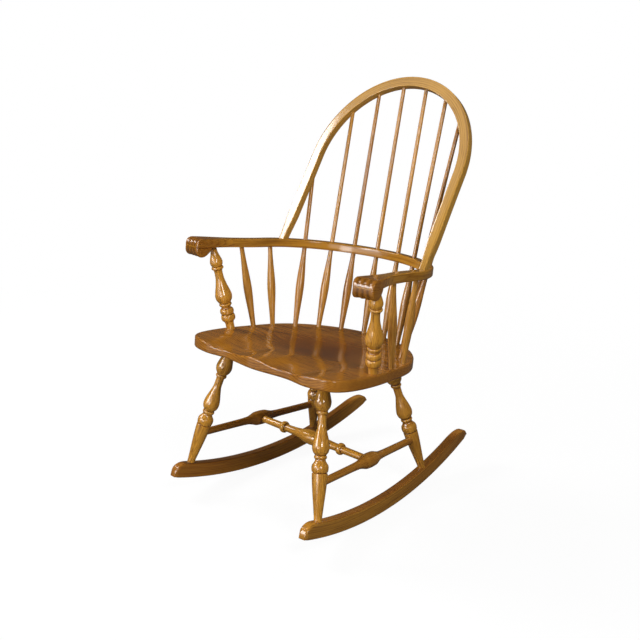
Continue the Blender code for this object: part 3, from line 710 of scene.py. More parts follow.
def swept(place: Placing, path: Array, section: Array, across: Array, up: Array) -> Surface:
    """Bent piece: a section carried along a path.

    A point is path + across · u + up · v, and its grain is (u, v, distance along the path), so the grain
    follows the bend.

    Args:
        place: Place that path, across and up are given in.
        path: Middle line.
        section: Across and up coordinates by row, by place in the loop.
        across: Direction across the piece, one for all rows or one for each.
        up: Direction out of its top.

    Returns:
        The closed surface.
    """
    u, v = section[..., :1], section[..., 1:]
    local = path[:, None, :] + np.broadcast_to(across, path.shape)[:, None, :] * u + up * v
    grain = np.concatenate([u, v, distances(path)[:, None, None] + 0.0 * u], axis=-1)
    return Surface.tube(place.out(local), grain, 0.0 * u[..., 0])


class Wire:
    """A socket of a node tree that takes part in Python arithmetic."""

    def __init__(self, bench: "Bench", socket: bpy.types.NodeSocket | None) -> None:
        """Wrap a socket of a bench's tree."""
        self.bench = bench
        self.socket = socket

    def __add__(self, other: "Wire | float") -> "Wire":
        """Sum of two values."""
        return self.bench.math("ADD", self, other)

    def __radd__(self, other: float) -> "Wire":
        """Sum of a number and a value."""
        return self.bench.math("ADD", other, self)

    def __sub__(self, other: "Wire | float") -> "Wire":
        """Difference of two values."""
        return self.bench.math("SUBTRACT", self, other)

    def __rsub__(self, other: float) -> "Wire":
        """Difference of a number and a value."""
        return self.bench.math("SUBTRACT", other, self)

    def __mul__(self, other: "Wire | float") -> "Wire":
        """Product of two values."""
        return self.bench.math("MULTIPLY", self, other)

    def __rmul__(self, other: float) -> "Wire":
        """Product of a number and a value."""
        return self.bench.math("MULTIPLY", other, self)

    def __truediv__(self, other: "Wire | float") -> "Wire":
        """Quotient of two values."""
        return self.bench.math("DIVIDE", self, other)

    def __rtruediv__(self, other: float) -> "Wire":
        """Quotient of a number and a value."""
        return self.bench.math("DIVIDE", other, self)

    def share(self, low: float, high: float) -> "Wire":
        """Smooth share of the way from a low value to a high one, held between 0 and 1."""
        inputs = {"Value": self, "From Min": low, "From Max": high}
        return self.bench.node("ShaderNodeMapRange", {"interpolation_type": "SMOOTHSTEP"}, inputs)


class Bench:
    """The node tree of one material or of the world, and the tools that join its nodes."""

    def __init__(self, tree: bpy.types.NodeTree) -> None:
        """Clear a node tree and start on it."""
        self.tree = tree
        tree.nodes.clear()

    def node(self, kind: str, settings: dict, inputs: dict, output: int | str = 0) -> Wire:
        """Add a node.

        Args:
            kind: The node's type.
            settings: Its own properties, set before its sockets.
            inputs: Values or wires by the name or number of the socket.
            output: The socket that the wire stands for.

        Returns:
            The wire of one output, which is bare on a node that ends the tree.
        """
        node = self.tree.nodes.new(kind)
        for name, value in settings.items():
            setattr(node, name, value)
        for name, value in inputs.items():
            if isinstance(value, Wire):
                self.tree.links.new(value.socket, node.inputs[name])
            else:
                node.inputs[name].default_value = value
        return Wire(self, node.outputs[output] if len(node.outputs) else None)

    def math(self, operation: str, first: Wire | float, second: Wire | float) -> Wire:
        """Value of a Math node."""
        return self.node("ShaderNodeMath", {"operation": operation}, {0: first, 1: second})

    def vector(self, operation: str, first: Wire | Colour, second: Wire | Colour) -> Wire:
        """Vector of a Vector Math node."""
        return self.node("ShaderNodeVectorMath", {"operation": operation}, {0: first, 1: second})

    def length(self, vector: Wire) -> Wire:
        """Length of a vector."""
        return self.node("ShaderNodeVectorMath", {"operation": "LENGTH"}, {0: vector}, "Value")

    def mix(self, share: Wire | float, first: Wire | Colour, second: Wire | Colour) -> Wire:
        """Colour that goes from the first to the second by a share. Sockets 6 and 7 take colours."""
        first, second = (part if isinstance(part, Wire) else (*part, 1.0) for part in (first, second))
        return self.node("ShaderNodeMix", {"data_type": "RGBA"}, {0: share, 6: first, 7: second}, 2)

    def noise(self, wood: Wire, figure: Figure, output: str = "Fac") -> Wire:
        """Soft noise over the wood's coordinates.

        Args:
            wood: Coordinates across, across and along the grain.
            figure: The pattern's size and shape.
            output: The noise as a value or as a colour.

        Returns:
            The noise, about a half in the mean.
        """
        scale, along, detail = figure.value
        drawn = self.vector("MULTIPLY", wood, (1.0, 1.0, along))
        inputs = {"Vector": drawn, "Scale": scale, "Detail": detail, "Roughness": NOISE_ROUGHNESS}
        return self.node("ShaderNodeTexNoise", {}, inputs, output)

    def attribute(self, name: str, output: str) -> Wire:
        """An attribute of the piece."""
        return self.node("ShaderNodeAttribute", {"attribute_name": name}, {}, output)


@dataclass(frozen=True)
class OakFinish:
    """Stained and varnished oak, whose rings and pores follow the piece's own grain.

    The wood coordinates are metres across, across and along the grain. Rings are shells round a pith beside
    the piece, each with a porous start that takes the stain. Pores are short dark strokes along the grain.
    Wear and painted shade above 0 darken the wood, warm at first and then nearly black, and wear below 0 rubs
    it pale.
    """

    wood: Wood
    light: Colour
    dark: Colour

    # Figure of the wood, and how much of the stain each part of it takes.
    ring: float = 0.0036
    ring_edge: float = 0.07
    ring_fade: float = 0.62
    ring_strength: float = 0.52
    porous_stain: float = 0.55
    pore_stain: float = 0.75
    streak_strength: float = 0.55
    fibre_strength: float = 0.95
    cloud_strength: float = 0.65
    base_stain: float = 0.10
    stain_range: tuple[float, float] = (-0.15, 1.0)
    pore_range: tuple[float, float] = (0.50, 0.66)
    pore_share: float = 0.22
    sway: float = 0.007

    # Wear and painted shade: tints of the colours, the level they come in at, and their strength.
    warm_tint: Colour = (0.80, 0.36, 0.30)
    warm_range: tuple[float, float] = (0.10, 0.60)
    warm_strength: float = 0.50
    black_tint: float = 0.22
    black_range: tuple[float, float] = (0.45, 1.0)
    black_strength: float = 0.80
    rubbed_gain: float = 1.22
    rubbed_lift: float = 0.02
    rubbed_range: tuple[float, float] = (0.25, 1.0)
    rubbed_strength: float = 0.30

    # Varnish.
    roughness: float = 0.15
    pore_roughness: float = 0.5
    cloud_roughness: float = 0.5
    groove_roughness: float = 0.15
    groove_range: tuple[float, float] = (0.2, 1.0)
    refraction: float = 1.5
    gloss: float = 0.50
    coat: float = 0.35
    coat_roughness: float = 0.08
    relief: float = 0.05
    fibre_relief: float = 0.25
    relief_depth: float = 0.0003

    def swaying(self, bench: Bench) -> Wire:
        """Wood coordinates that wander a little across the grain, as a tree's rings do.

        Args:
            bench: The material's bench.

        Returns:
            The coordinates.
        """
        grain = bench.attribute(GRAIN, "Vector")
        drift = bench.vector("SUBTRACT", bench.noise(grain, Figure.DRIFT, "Color"), (0.5, 0.5, 0.5))
        return bench.vector("ADD", grain, bench.vector("MULTIPLY", drift, (self.sway, self.sway, 0.0)))

    def early_wood(self, bench: Bench, wood: Wire) -> Wire:
        """Porous start of each ring, by the distance from the pith counted in rings.

        Args:
            bench: The material's bench.
            wood: The wood's coordinates.

        Returns:
            One in the porous wood, and nothing at the end of a ring.
        """
        radius = bench.length(bench.vector("MULTIPLY", wood, (1.0, 1.0, 0.0)))
        phase = bench.math("FRACT", radius / self.ring, 0.0)
        return (1.0 - phase.share(0.0, self.ring_fade)) * phase.share(0.0, self.ring_edge)

    def pores(self, bench: Bench, wood: Wire, porous: Wire) -> Wire:
        """Short dark strokes along the grain, strongest in the porous wood."""
        strokes = bench.noise(wood, Figure.PORES).share(*self.pore_range)
        return strokes * (self.pore_share + (1.0 - self.pore_share) * porous)

    def worn_and_shaded(self, bench: Bench, colour: Wire, wear_and_shade: Wire) -> Wire:
        """Colour of the wood with its wear and painted shade.

        Args:
            bench: The material's bench.
            colour: The wood's own colour.
            wear_and_shade: The piece's wear and painted shade.

        Returns:
            The colour, darker with wear and painted shade, including painted crevice shade in hollows, and
            paler on rubbed ridges.
        """
        warm = tuple(tint * part for tint, part in zip(self.warm_tint, self.dark))
        black = tuple(self.black_tint * part for part in self.dark)
        rubbed = tuple(min(1.0, self.rubbed_gain * part + self.rubbed_lift) for part in self.light)
        colour = bench.mix(wear_and_shade.share(*self.warm_range) * self.warm_strength, colour, warm)
        colour = bench.mix(wear_and_shade.share(*self.black_range) * self.black_strength, colour, black)
        return bench.mix((0.0 - wear_and_shade).share(*self.rubbed_range) * self.rubbed_strength, colour, rubbed)

    def material(self) -> bpy.types.Material:
        """Build the material.

        Returns:
            A material that reads the grain attribute and the wear and painted shade attribute of the piece it
            is on.
        """
        material = bpy.data.materials.new(self.wood.value)
        material.use_nodes = True
        material.diffuse_color = (*self.light, 1.0)
        bench = Bench(material.node_tree)
        wood = self.swaying(bench)
        porous = self.early_wood(bench, wood)
        pores = self.pores(bench, wood, porous)
        figures = (Figure.FIBRE, Figure.STREAK, Figure.CLOUD)
        fibre, streak, cloud = (bench.noise(wood, figure) - 0.5 for figure in figures)
        ring_stain = porous * self.porous_stain + pores * self.pore_stain
        stain = ring_stain * self.ring_strength + streak * (2.0 * self.streak_strength)
        stain = stain + fibre * self.fibre_strength + cloud * self.cloud_strength + self.base_stain
        # Wear and painted shade of the piece: real wear and stains, painted crevice shade in grooves, and
        # painted shade on shaded parts.
        wear_and_shade = bench.attribute(WEAR_AND_SHADE, "Fac")
        colour = self.worn_and_shaded(bench, bench.mix(stain.share(*self.stain_range), self.light, self.dark), wear_and_shade)
        rough = self.roughness * (1.0 + self.pore_roughness * pores + self.cloud_roughness * cloud)
        rough = rough + wear_and_shade.share(*self.groove_range) * self.groove_roughness
        height = fibre * self.fibre_relief - pores
        bump = {"Height": height, "Strength": self.relief, "Distance": self.relief_depth}
        inputs = {
            "Base Color": colour,
            "Roughness": rough,
            "IOR": self.refraction,
            "Specular IOR Level": self.gloss,
            "Coat Weight": self.coat,
            "Coat Roughness": self.coat_roughness,
            "Normal": bench.node("ShaderNodeBump", {}, bump, "Normal"),
        }
        shader = bench.node("ShaderNodeBsdfPrincipled", {}, inputs)
        bench.node("ShaderNodeOutputMaterial", {}, {"Surface": shader})
        return material


def put(name: str, data: bpy.types.ID) -> bpy.types.Object:
    """Put an object into the scene, at the origin.

    Args:
        name: The object's name.
        data: Its mesh, light or camera.

    Returns:
        The object.
    """
    item = bpy.data.objects.new(name, data)
    bpy.context.scene.collection.objects.link(item)
    return item


@dataclass
class Workshop:
    """Makes finished pieces of surfaces and puts them on the chair."""

    finishes: tuple[OakFinish, ...]
    crease: float = math.radians(38.0)
    pith: tuple[float, float] = (0.035, 0.075)
    log_length: float = 4.0
    planks: np.random.Generator = field(default_factory=lambda: np.random.default_rng(PLANK_SEED))
    materials: dict[Wood, bpy.types.Material] = field(init=False)

    def __post_init__(self) -> None:
        """Mix every finish once."""
        self.materials = {finish.wood: finish.material() for finish in self.finishes}

    def plank(self) -> Array:
        """Where the next piece is cut out of its tree: across, across and along from the pith.

        Returns:
            What is added to the piece's own wood coordinates.
        """
        near, far = self.pith
        turn, reach, along = self.planks.uniform([0.0, near, 0.0], [2.0 * math.pi, far, self.log_length])
        return np.array([reach * math.cos(turn), reach * math.sin(turn), along])

    def finish(self, node: str, wood: Wood, surface: Surface, stain: float = 0.0) -> bpy.types.Object:
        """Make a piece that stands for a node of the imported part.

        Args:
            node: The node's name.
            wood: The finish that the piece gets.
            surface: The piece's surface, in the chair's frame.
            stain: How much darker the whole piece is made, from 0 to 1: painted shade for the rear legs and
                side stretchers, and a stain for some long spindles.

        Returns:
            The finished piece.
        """
        mesh = bpy.data.meshes.new(node + "_varnished")
        mesh.from_pydata(surface.points.tolist(), [], surface.quads.tolist() + surface.ends.tolist())
        grain = (surface.grain + self.plank()).astype(np.float32)
        mesh.attributes.new(GRAIN, "FLOAT_VECTOR", "POINT").data.foreach_set("vector", grain.ravel())
        wear_and_shade = (surface.wear_and_shade + stain).astype(np.float32)
        mesh.attributes.new(WEAR_AND_SHADE, "FLOAT", "POINT").data.foreach_set("value", wear_and_shade)
        mesh.materials.append(self.materials[wood])
        mesh.shade_smooth()
        mesh.set_sharp_from_angle(angle=self.crease)
        piece = put(node + "_varnished", mesh)
        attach(piece, BODY)
        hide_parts(node)
        LOG.info("%s: %d faces, %s", piece.name, len(mesh.polygons), wood.value)
        return piece


@dataclass(frozen=True)
class Seat:
    """Dished plank seat with two thigh hollows, a pommel and rounded edges."""

    lines: ChairLines

    # Outline and edges.
    corner: float = 0.080
    corner_reach: tuple[float, float] = (1.15, 1.10)
    rear_turns: tuple[float, ...] = (math.pi / 6.0, math.pi / 3.0, QUARTER)
    pommel: float = 0.004
    front_wave: float = 0.007
    front_easing: float = 0.0036
    back_easing: float = 0.0060
    under_easing: float = 0.0060
    fore_start: float = 0.130
    fore_run: float = 0.080

    # Hollows of the top, and the painted dark reflection over the dish.
    dish_depth: float = 0.0100
    dish_half: tuple[float, float] = (0.150, 0.120)
    dish_back: float = 0.030
    thigh_depth: float = 0.0100
    thigh_half: float = 0.070
    thigh_length: float = 0.300
    thigh_spread: float = 0.210
    dark_reflection_depth: float = 0.62
    dark_reflection_spread: tuple[float, float] = (1.20, 1.25)
    dark_reflection_reach: float = 0.6
    heart_depth: float = 0.17

    # Rows of the surface.
    middle_ahead: float = 0.020
    hub: float = 0.01
    rim_shares: tuple[float, ...] = (0.96, 0.98, 1.0)
    under_hub: float = 0.02
    around: int = 288
    curve_steps: int = 60
    top_rows: int = 52
    edge_rows: int = 9
    wall_rows: int = 5
    under_rows: int = 8

    def outline(self) -> Array:
        """Seat's edge, seen from above: a smooth closed curve through a few points of it.

        Returns:
            Points of the edge, in equal steps.
        """
        lines = self.lines
        edge, side, front = lines.seat_edge, lines.seat_side, lines.seat_front
        cut = self.corner * (1.0 - math.sqrt(0.5))
        beside, before = (reach * self.corner for reach in self.corner_reach)
        turns = np.array(self.rear_turns)
        rear = np.stack([edge * np.sin(turns), lines.ring_centre + edge * np.cos(turns)], axis=-1)
        corner = [(side, front + beside), (side - cut, front + cut), (side - before, front)]
        right = np.concatenate([rear, corner, [(self.thigh_spread / 2.0, front + self.front_wave)]])
        back, nose = [(0.0, lines.ring_centre + edge)], [(0.0, front - self.pommel)]
        return self.closed_curve(np.concatenate([back, right, nose, right[::-1] * [-1.0, 1.0]]))

    def closed_curve(self, ring: Array) -> Array:
        """Smooth closed curve through a ring of points.

        Every stretch between two points is a cubic. Its slope at a point runs along the chord between the
        points on both sides and is as long as the stretch. The curve is then walked in equal steps.

        Args:
            ring: The points, in order.

        Returns:
            Points of the curve, in equal steps.
        """
        before, after, later = (np.roll(ring, shift, axis=0) for shift in (1, -1, -2))
        stretch = np.linalg.norm(after - ring, axis=1)[:, None]
        knots = (ring, after, unit(after - before) * stretch, unit(later - ring) * stretch)
        t = np.linspace(0.0, 1.0, self.curve_steps, endpoint=False)[None, :, None]
        dense = cubic(t, *(part[:, None] for part in knots)).reshape(-1, 2)
        dense = np.concatenate([dense, dense[:1]])
        run = distances(dense)
        at = np.linspace(0.0, run[-1], self.around, endpoint=False)
        return np.stack([np.interp(at, run, part) for part in dense.T], axis=-1)

    def deck(self, x: Array, y: Array) -> Array:
        """Height of the seat's top: a shallow dish and two thigh hollows that run out over the front edge.

        The dish is a bell, d · exp(-(x/a)² - (y/b)²). A thigh hollow is d · exp(-u⁴) across the seat and a
        smooth step along it, full at the front edge and nothing a hollow's length behind it. The three join
        as the square root of the sum of their squares.

        Args:
            x: Places across the seat.
            y: Places along the seat, to the back.

        Returns:
            Heights over the plank's flat top, none above 0.
        """
        back = y - self.lines.ring_centre - self.dish_back
        dish = self.dish_depth * np.exp(-((x / self.dish_half[0]) ** 2) - (back / self.dish_half[1]) ** 2)
        fade = 1.0 - ease((y - self.lines.seat_front) / self.thigh_length)
        shares = [(x - side.value * self.thigh_spread / 2.0) / self.thigh_half for side in Side]
        thighs = [self.thigh_depth * np.exp(-(share**4)) * fade for share in shares]
        return -np.sqrt(sum(depth**2 for depth in (dish, *thighs)))

    def painted_dark_reflection(self, local: Array) -> Array:
        """Painted dark reflection, standing in for the dark surroundings that the dish mirrors: a bell over
        the dish, on the top alone.

        Args:
            local: Points in the seat's place.

        Returns:
            Painted dark reflection at the points.
        """
        wide, deep = (spread * half for spread, half in zip(self.dark_reflection_spread, self.dish_half))
        back = (local[..., 1] - self.lines.ring_centre - self.dish_back) / deep
        bell = np.exp(-((local[..., 0] / wide) ** 2) - back**2)
        return self.dark_reflection_depth * bell * (local[..., 2] > -self.dark_reflection_reach * self.lines.seat_thickness)

    def surface(self) -> Surface:
        """Seat's skin.

        Rows run from the middle of the top out to the edge, over its rounding, down the side, round the lower
        edge and back to the middle of the underside. Both roundings are quarter circles, and loops follow the
        outline. The grain runs across the seat.

        Returns:
            The closed surface.
        """
        lines = self.lines
        edge = self.outline()
        centre = np.array([0.0, lines.ring_centre - self.middle_ahead])
        ahead = unit(np.roll(edge, -1, axis=0) - np.roll(edge, 1, axis=0))
        inward = np.stack([ahead[:, 1], -ahead[:, 0]], axis=-1)
        inward = inward * np.sign(np.sum(inward * (centre - edge), axis=1))[:, None]
        forward = ease((lines.ring_centre - self.fore_start - edge[:, 1]) / self.fore_run)
        easing = self.back_easing + (self.front_easing - self.back_easing) * forward
        under, floor = self.under_easing, -lines.seat_thickness
        rim, inner = edge + inward * easing[:, None], edge + inward * under
        shares = np.linspace(self.hub, self.rim_shares[0], self.top_rows)
        shares = np.concatenate([shares, self.rim_shares[1:]])
        turn = np.linspace(0.0, QUARTER, self.edge_rows)[1:, None]
        fall = np.linspace(0.0, 1.0, self.wall_rows)[1:, None]
        home = np.linspace(1.0, self.under_hub, self.under_rows)[1:, None]
        top = centre + (rim - centre) * shares[:, None, None]
        top_z = self.deck(top[..., 0], top[..., 1])
        shoulder_z = top_z[-1] - easing * (1.0 - np.cos(turn))
        bands = (
            (top, top_z),
            (rim - inward * (easing * np.sin(turn))[..., None], shoulder_z),
            (edge + 0.0 * fall[..., None], shoulder_z[-1] + (floor + under - shoulder_z[-1]) * fall),
            (edge + inward * (under * (1.0 - np.cos(turn)))[..., None], floor + under - under * np.sin(turn)),
            (centre + (inner - centre) * home[..., None], floor + 0.0 * home),
        )
        flat = np.concatenate([places for places, _ in bands])
        level = np.concatenate([np.broadcast_to(heights, places.shape[:2]) for places, heights in bands])
        local = np.concatenate([flat, level[..., None]], axis=-1)
        grain = np.stack([local[..., 2] + self.heart_depth, local[..., 1], local[..., 0]], axis=-1)
        # The top gets painted dark reflection over its dish.
        return Surface.tube(lines.seat.out(local), grain, self.painted_dark_reflection(local))

    def build(self, shop: Workshop) -> None:
        """Make the seat."""
        shop.finish("seat", Wood.SEAT, self.surface())


@dataclass(frozen=True)
class Arms:
    """Bent arm rail with knuckled hands, and the blocks that thicken the hands."""

    lines: ChairLines

    # Rail and hands.
    width: float = 0.028
    hand_width: float = 0.058
    hand_length: float = 0.115
    hand_corner: float = 0.005
    widening_start: float = 0.010
    scroll: float = 0.017
    scroll_drop: float = 0.018
    back_sweep: float = math.radians(88.5)
    top_easing: float = 0.0038
    under_easing: float = 0.0030
    glue_easing: float = 0.0012
    glue_start: float = 0.045
    glue_run: float = 0.020

    # Blocks under the hands.
    block_height: float = 0.025
    least_height: float = 0.0006
    block_length: float = 0.050
    block_nose: float = 0.016
    block_heel: float = 0.028
    block_easing: float = 0.0022
    block_crisp: float = 0.0010
    block_inset: float = 0.0002
    nose_power: float = 2.2
    heel_power: float = 1.5
    joint: float = 0.0003

    # Grooves between the knuckles, darkened by painted crevice shade and dark glaze, and painted shade over
    # the hands.
    knuckles: tuple[float, ...] = (-0.52, 0.0, 0.52)
    knuckle_width: float = 0.17
    knuckle_depth: float = 0.0026
    knuckle_reach: float = 0.024
    knuckle_fade: float = 1.6
    knuckle_root: float = 0.004
    knuckle_floor: float = 0.001
    knuckle_glaze_and_shade: float = 0.30
    hand_painted_shade: float = 0.50
    hand_shade_start: float = 0.030

    # Rows of the surfaces.
    tip_turn: float = 0.02
    block_turn: float = 0.04
    tip_rows: int = 16
    arm_rows: int = 70
    back_rows: int = 90
    nose_rows: int = 18
    block_rows: int = 10
    heel_rows: int = 20
    flats: int = 23

    def half_width(self, distance: Array) -> Array:
        """Half width of the arm: a smooth step from the hand to the rail, with a rounded corner at the front.

        Args:
            distance: Distances from the arm's front end.

        Returns:
            The half widths.
        """
        spread = (self.hand_width - self.width) / 2.0
        half = self.hand_width / 2.0 - spread * ease((distance - self.widening_start) / self.hand_length)
        short = np.clip(self.hand_corner - distance, 0.0, self.hand_corner)
        return half - self.hand_corner + np.sqrt(self.hand_corner**2 - short**2)

    def grooves(self, section: Array, half: Array, distance: Array) -> Array:
        """Grooves between the knuckles: a sum of bells exp(-u²) across the hand, fading out behind them.

        Args:
            section: Across and up coordinates by row, by place in the loop.
            half: Half width of each row.
            distance: Distance of each row from the arm's front end.

        Returns:
            How far each point lies in a groove, about 1 in its middle.
        """
        share = section[..., 0] / half[:, None]
        bells = sum(np.exp(-(((share - at) / self.knuckle_width) ** 2)) for at in self.knuckles)
        fade = ease((self.knuckle_reach - distance) / self.knuckle_reach * self.knuckle_fade)
        return bells * fade[:, None]

    def rail_surface(self) -> Surface:
        """Rail's skin: a rounded section carried along one arm, round the back and along the other arm.

        Towards each end the top falls as a quarter of an ellipse, and the grooves between the knuckles run
        over that round.

        Returns:
            The closed surface.
        """
        lines = self.lines
        tip = crowded(self.scroll, self.tip_rows, self.tip_turn)
        reach = np.concatenate([tip, np.linspace(self.scroll, lines.arm_length, self.arm_rows)[1:]])
        arm = lines.rail_arm(lines.arm_length - reach)
        back = lines.rail_back(np.linspace(self.back_sweep, -self.back_sweep, self.back_rows))
        path = np.concatenate([arm, back, Side.LEFT.of(arm[::-1])])
        distance = np.concatenate([reach, np.full(len(back), lines.arm_length), reach[::-1]])
        half = self.half_width(distance)
        short = np.clip((self.scroll - distance) / self.scroll, 0.0, 1.0)
        top = -self.scroll_drop * (1.0 - np.sqrt(1.0 - short**2))
        glued = 1.0 - ease((distance - self.glue_start) / self.glue_run)
        under = self.under_easing + (self.glue_easing - self.under_easing) * glued
        section = rounded_section(half, top, -lines.rail_thickness, self.top_easing, under, self.flats)
        above = section[..., 1] + lines.rail_thickness
        cut = self.grooves(section, half, distance) * ease(above / self.knuckle_root)
        section[..., 1] -= self.knuckle_depth * cut * (above > self.knuckle_floor)
        surface = swept(lines.rail, path, section, sideways(path), UP)
        # Painted shade over the hand, fading out behind it, and painted crevice shade and dark glaze in the
        # knuckle grooves.
        held = self.hand_painted_shade * (1.0 - ease((distance - self.hand_shade_start) / self.hand_length))[:, None]
        surface.stain(np.clip(cut * self.knuckle_glaze_and_shade + held, 0.0, 1.0))
        return surface

    def block_surface(self, side: Side) -> Surface:
        """Skin of the block under a hand: an upright section carried along the arm, flush with the rail.

        Its depth under the rail is that of a superellipse quarter, h · (1 - s^p)^(1/p), which is full at the
        nose and slack at the heel. The grooves between the knuckles run down the nose.

        Args:
            side: The hand's side.

        Returns:
            The closed surface.
        """
        lines = self.lines
        nose = crowded(self.block_nose, self.nose_rows, self.block_turn)
        heel = self.block_length - crowded(self.block_heel, self.heel_rows, self.block_turn)[::-1]
        distance = np.concatenate([nose, np.linspace(nose[-1], heel[0], self.block_rows)[1:-1], heel])
        ahead = np.clip((self.block_nose - distance) / self.block_nose, 0.0, 1.0)
        behind = np.clip((distance - self.block_length) / self.block_heel + 1.0, 0.0, 1.0)
        full = (1.0 - ahead**self.nose_power) ** (1.0 / self.nose_power)
        full = full * (1.0 - behind**self.heel_power) ** (1.0 / self.heel_power)
        top = -lines.rail_thickness - self.joint
        low = top - np.maximum(self.block_height * full, self.least_height)
        half = self.half_width(distance) - self.block_inset
        section = rounded_section(half, top, low, self.block_crisp, self.block_easing, self.flats)
        lower_half = section[..., 1] < ((top + low) / 2.0)[:, None]
        cut = self.grooves(section, half, distance) * lower_half
        section[..., 1] += self.knuckle_depth * cut
        path = side.of(lines.rail_arm(lines.arm_length - distance))
        surface = swept(lines.rail, path, section, side.value * sideways(path), UP)
        # Painted shade over the block, and painted crevice shade and dark glaze in its knuckle grooves.
        surface.stain(np.clip(cut * self.knuckle_glaze_and_shade + self.hand_painted_shade, 0.0, 1.0))
        return surface

    def build(self, shop: Workshop) -> None:
        """Make the rail and both blocks.

        Args:
            shop: The workshop that finishes them.
        """
        shop.finish("arm_rail", Wood.ARM, self.rail_surface())
        for side in Side:
            shop.finish("hand_block_" + side.label, Wood.ARM, self.block_surface(side))


@dataclass(frozen=True)
class Hoop:
    """Bent hoop that stands on the arm rail: an arch on two limbs."""

    lines: ChairLines
    width: float = 0.0275
    foot_width: float = 0.0185
    taper: float = 0.080
    depth: float = 0.019
    easing: float = 0.0013
    back_easing: float = 0.0018
    crown: float = 0.0002
    sink: float = 0.006
    limb_rows: int = 60
    arch_rows: int = 141
    flats: int = 7

    def surface(self) -> Surface:
        """Hoop's skin: a rounded section, a little crowned in front, carried up a limb, over and down.

        Returns:
            The closed surface.
        """
        lines = self.lines
        heights = np.concatenate([[-self.sink], np.linspace(0.0, lines.hoop_spring, self.limb_rows)[:-1]])
        limb = lines.hoop_limb(np.maximum(heights, 0.0)) + np.outer(np.minimum(heights, 0.0), [0.0, 1.0, 0.0])
        arch = lines.hoop_arch(lines.hoop_radius * np.linspace(QUARTER, -QUARTER, self.arch_rows))
        path = np.concatenate([limb, arch, Side.LEFT.of(limb[::-1])])
        limb_half = (self.foot_width + (self.width - self.foot_width) * ease(heights / self.taper)) / 2.0
        half = np.concatenate([limb_half, np.full(len(arch), self.width / 2.0), limb_half[::-1]])
        face = self.depth / 2.0
        section = rounded_section(half, face - self.crown, -face, self.easing, self.back_easing, self.flats)
        bulge = self.crown * (1.0 - (section[..., 0] / half[:, None]) ** 2)
        section[..., 1] += bulge * (section[..., 1] > 0.0)
        return swept(lines.hoop, path, section, sideways(path), UP)

    def build(self, shop: Workshop) -> None:
        """Make the hoop."""
        shop.finish("hoop", Wood.HOOP, self.surface())


@dataclass(frozen=True)
class Rockers:
    """Bent runners: two arcs round one centre, with both ends rounded down to the underside."""

    lines: ChairLines
    length: float = 0.724
    thickness: float = 0.0248
    front_nose: float = 0.047
    rear_nose: float = 0.085
    nose_turn: float = 0.03
    blunting: float = 0.25
    blunt_run: float = 0.25
    least_height: float = 0.0008
    top_easing: float = 0.0050
    under_easing: float = 0.0026

    # Painted shade on the top between the ends, and painted shade that runs from the front of each rocker to
    # its rear.
    top_painted_shade: float = 0.40
    top_shade_depth: float = 0.005
    top_shade_fade: float = 2.0
    left_darkening: tuple[float, float] = (0.48, 0.22)
    right_darkening: tuple[float, float] = (0.04, 0.38)

    # Rows of the surface.
    front_rows: int = 22
    middle_rows: int = 140
    rear_rows: int = 26
    flats: int = 5

    def surface(self, side: Side) -> Surface:
        """Rocker's skin: upright sections between a lower and an upper arc.

        Near an end the upper arc's height over the lower one is that of a quarter ellipse, h · sqrt(1 - s²).
        The grain follows the lower arc. The top between the ends is darker with painted shade, and each
        rocker has painted shade that changes from its front to its rear.

        Args:
            side: The rocker's side.

        Returns:
            The closed surface.
        """
        lines = self.lines
        front, rear = -self.length / 2.0, self.length / 2.0
        near = front + crowded(self.front_nose, self.front_rows, self.nose_turn)
        far = rear - crowded(self.rear_nose, self.rear_rows, self.nose_turn)[::-1]
        along = np.concatenate([near, np.linspace(near[-1], far[0], self.middle_rows)[1:-1], far])
        short = np.maximum((front + self.front_nose - along) / self.front_nose, 0.0)
        short = np.maximum(short, (along - rear + self.rear_nose) / self.rear_nose)
        bend = lines.rocker_rise(along, 0.0)
        top = lines.rocker_rise(along, lines.rocker_height * np.sqrt(np.clip(1.0 - short**2, 0.0, 1.0)))
        low = np.minimum(np.maximum(bend, 0.0), top - self.least_height)
        blunt = 1.0 - self.blunting * ease((short - 1.0 + self.blunt_run) / self.blunt_run)
        half = self.thickness / 2.0 * blunt
        section = rounded_section(half, top, low, self.top_easing, self.under_easing, self.flats)
        ahead, up, across = np.eye(3)
        surface = swept(lines.rocker(side), np.outer(along, ahead), section, across, up)
        rows, loop = section.shape[:2]
        surface.grain[: rows * loop, 1] -= np.repeat(bend, loop)
        # Painted shade on the top between the ends.
        top_shade = ease(1.0 - (top[:, None] - section[..., 1]) / self.top_shade_depth)
        top_shade = top_shade * (1.0 - ease(self.top_shade_fade * short))[:, None]
        # Painted shade from the front of the rocker to its rear, set before the top's painted shade is added.
        first, last = self.left_darkening if side is Side.LEFT else self.right_darkening
        surface.wear_and_shade[:] = first
        painted_end_shade = first + (last - first) * ease(0.5 + along / self.length)[:, None]
        surface.stain(painted_end_shade + self.top_painted_shade * top_shade)
        return surface

    def build(self, shop: Workshop) -> None:
        """Make both rockers."""
        for side in Side:
            shop.finish("rocker_" + side.label, Wood.ROCKER, self.surface(side))


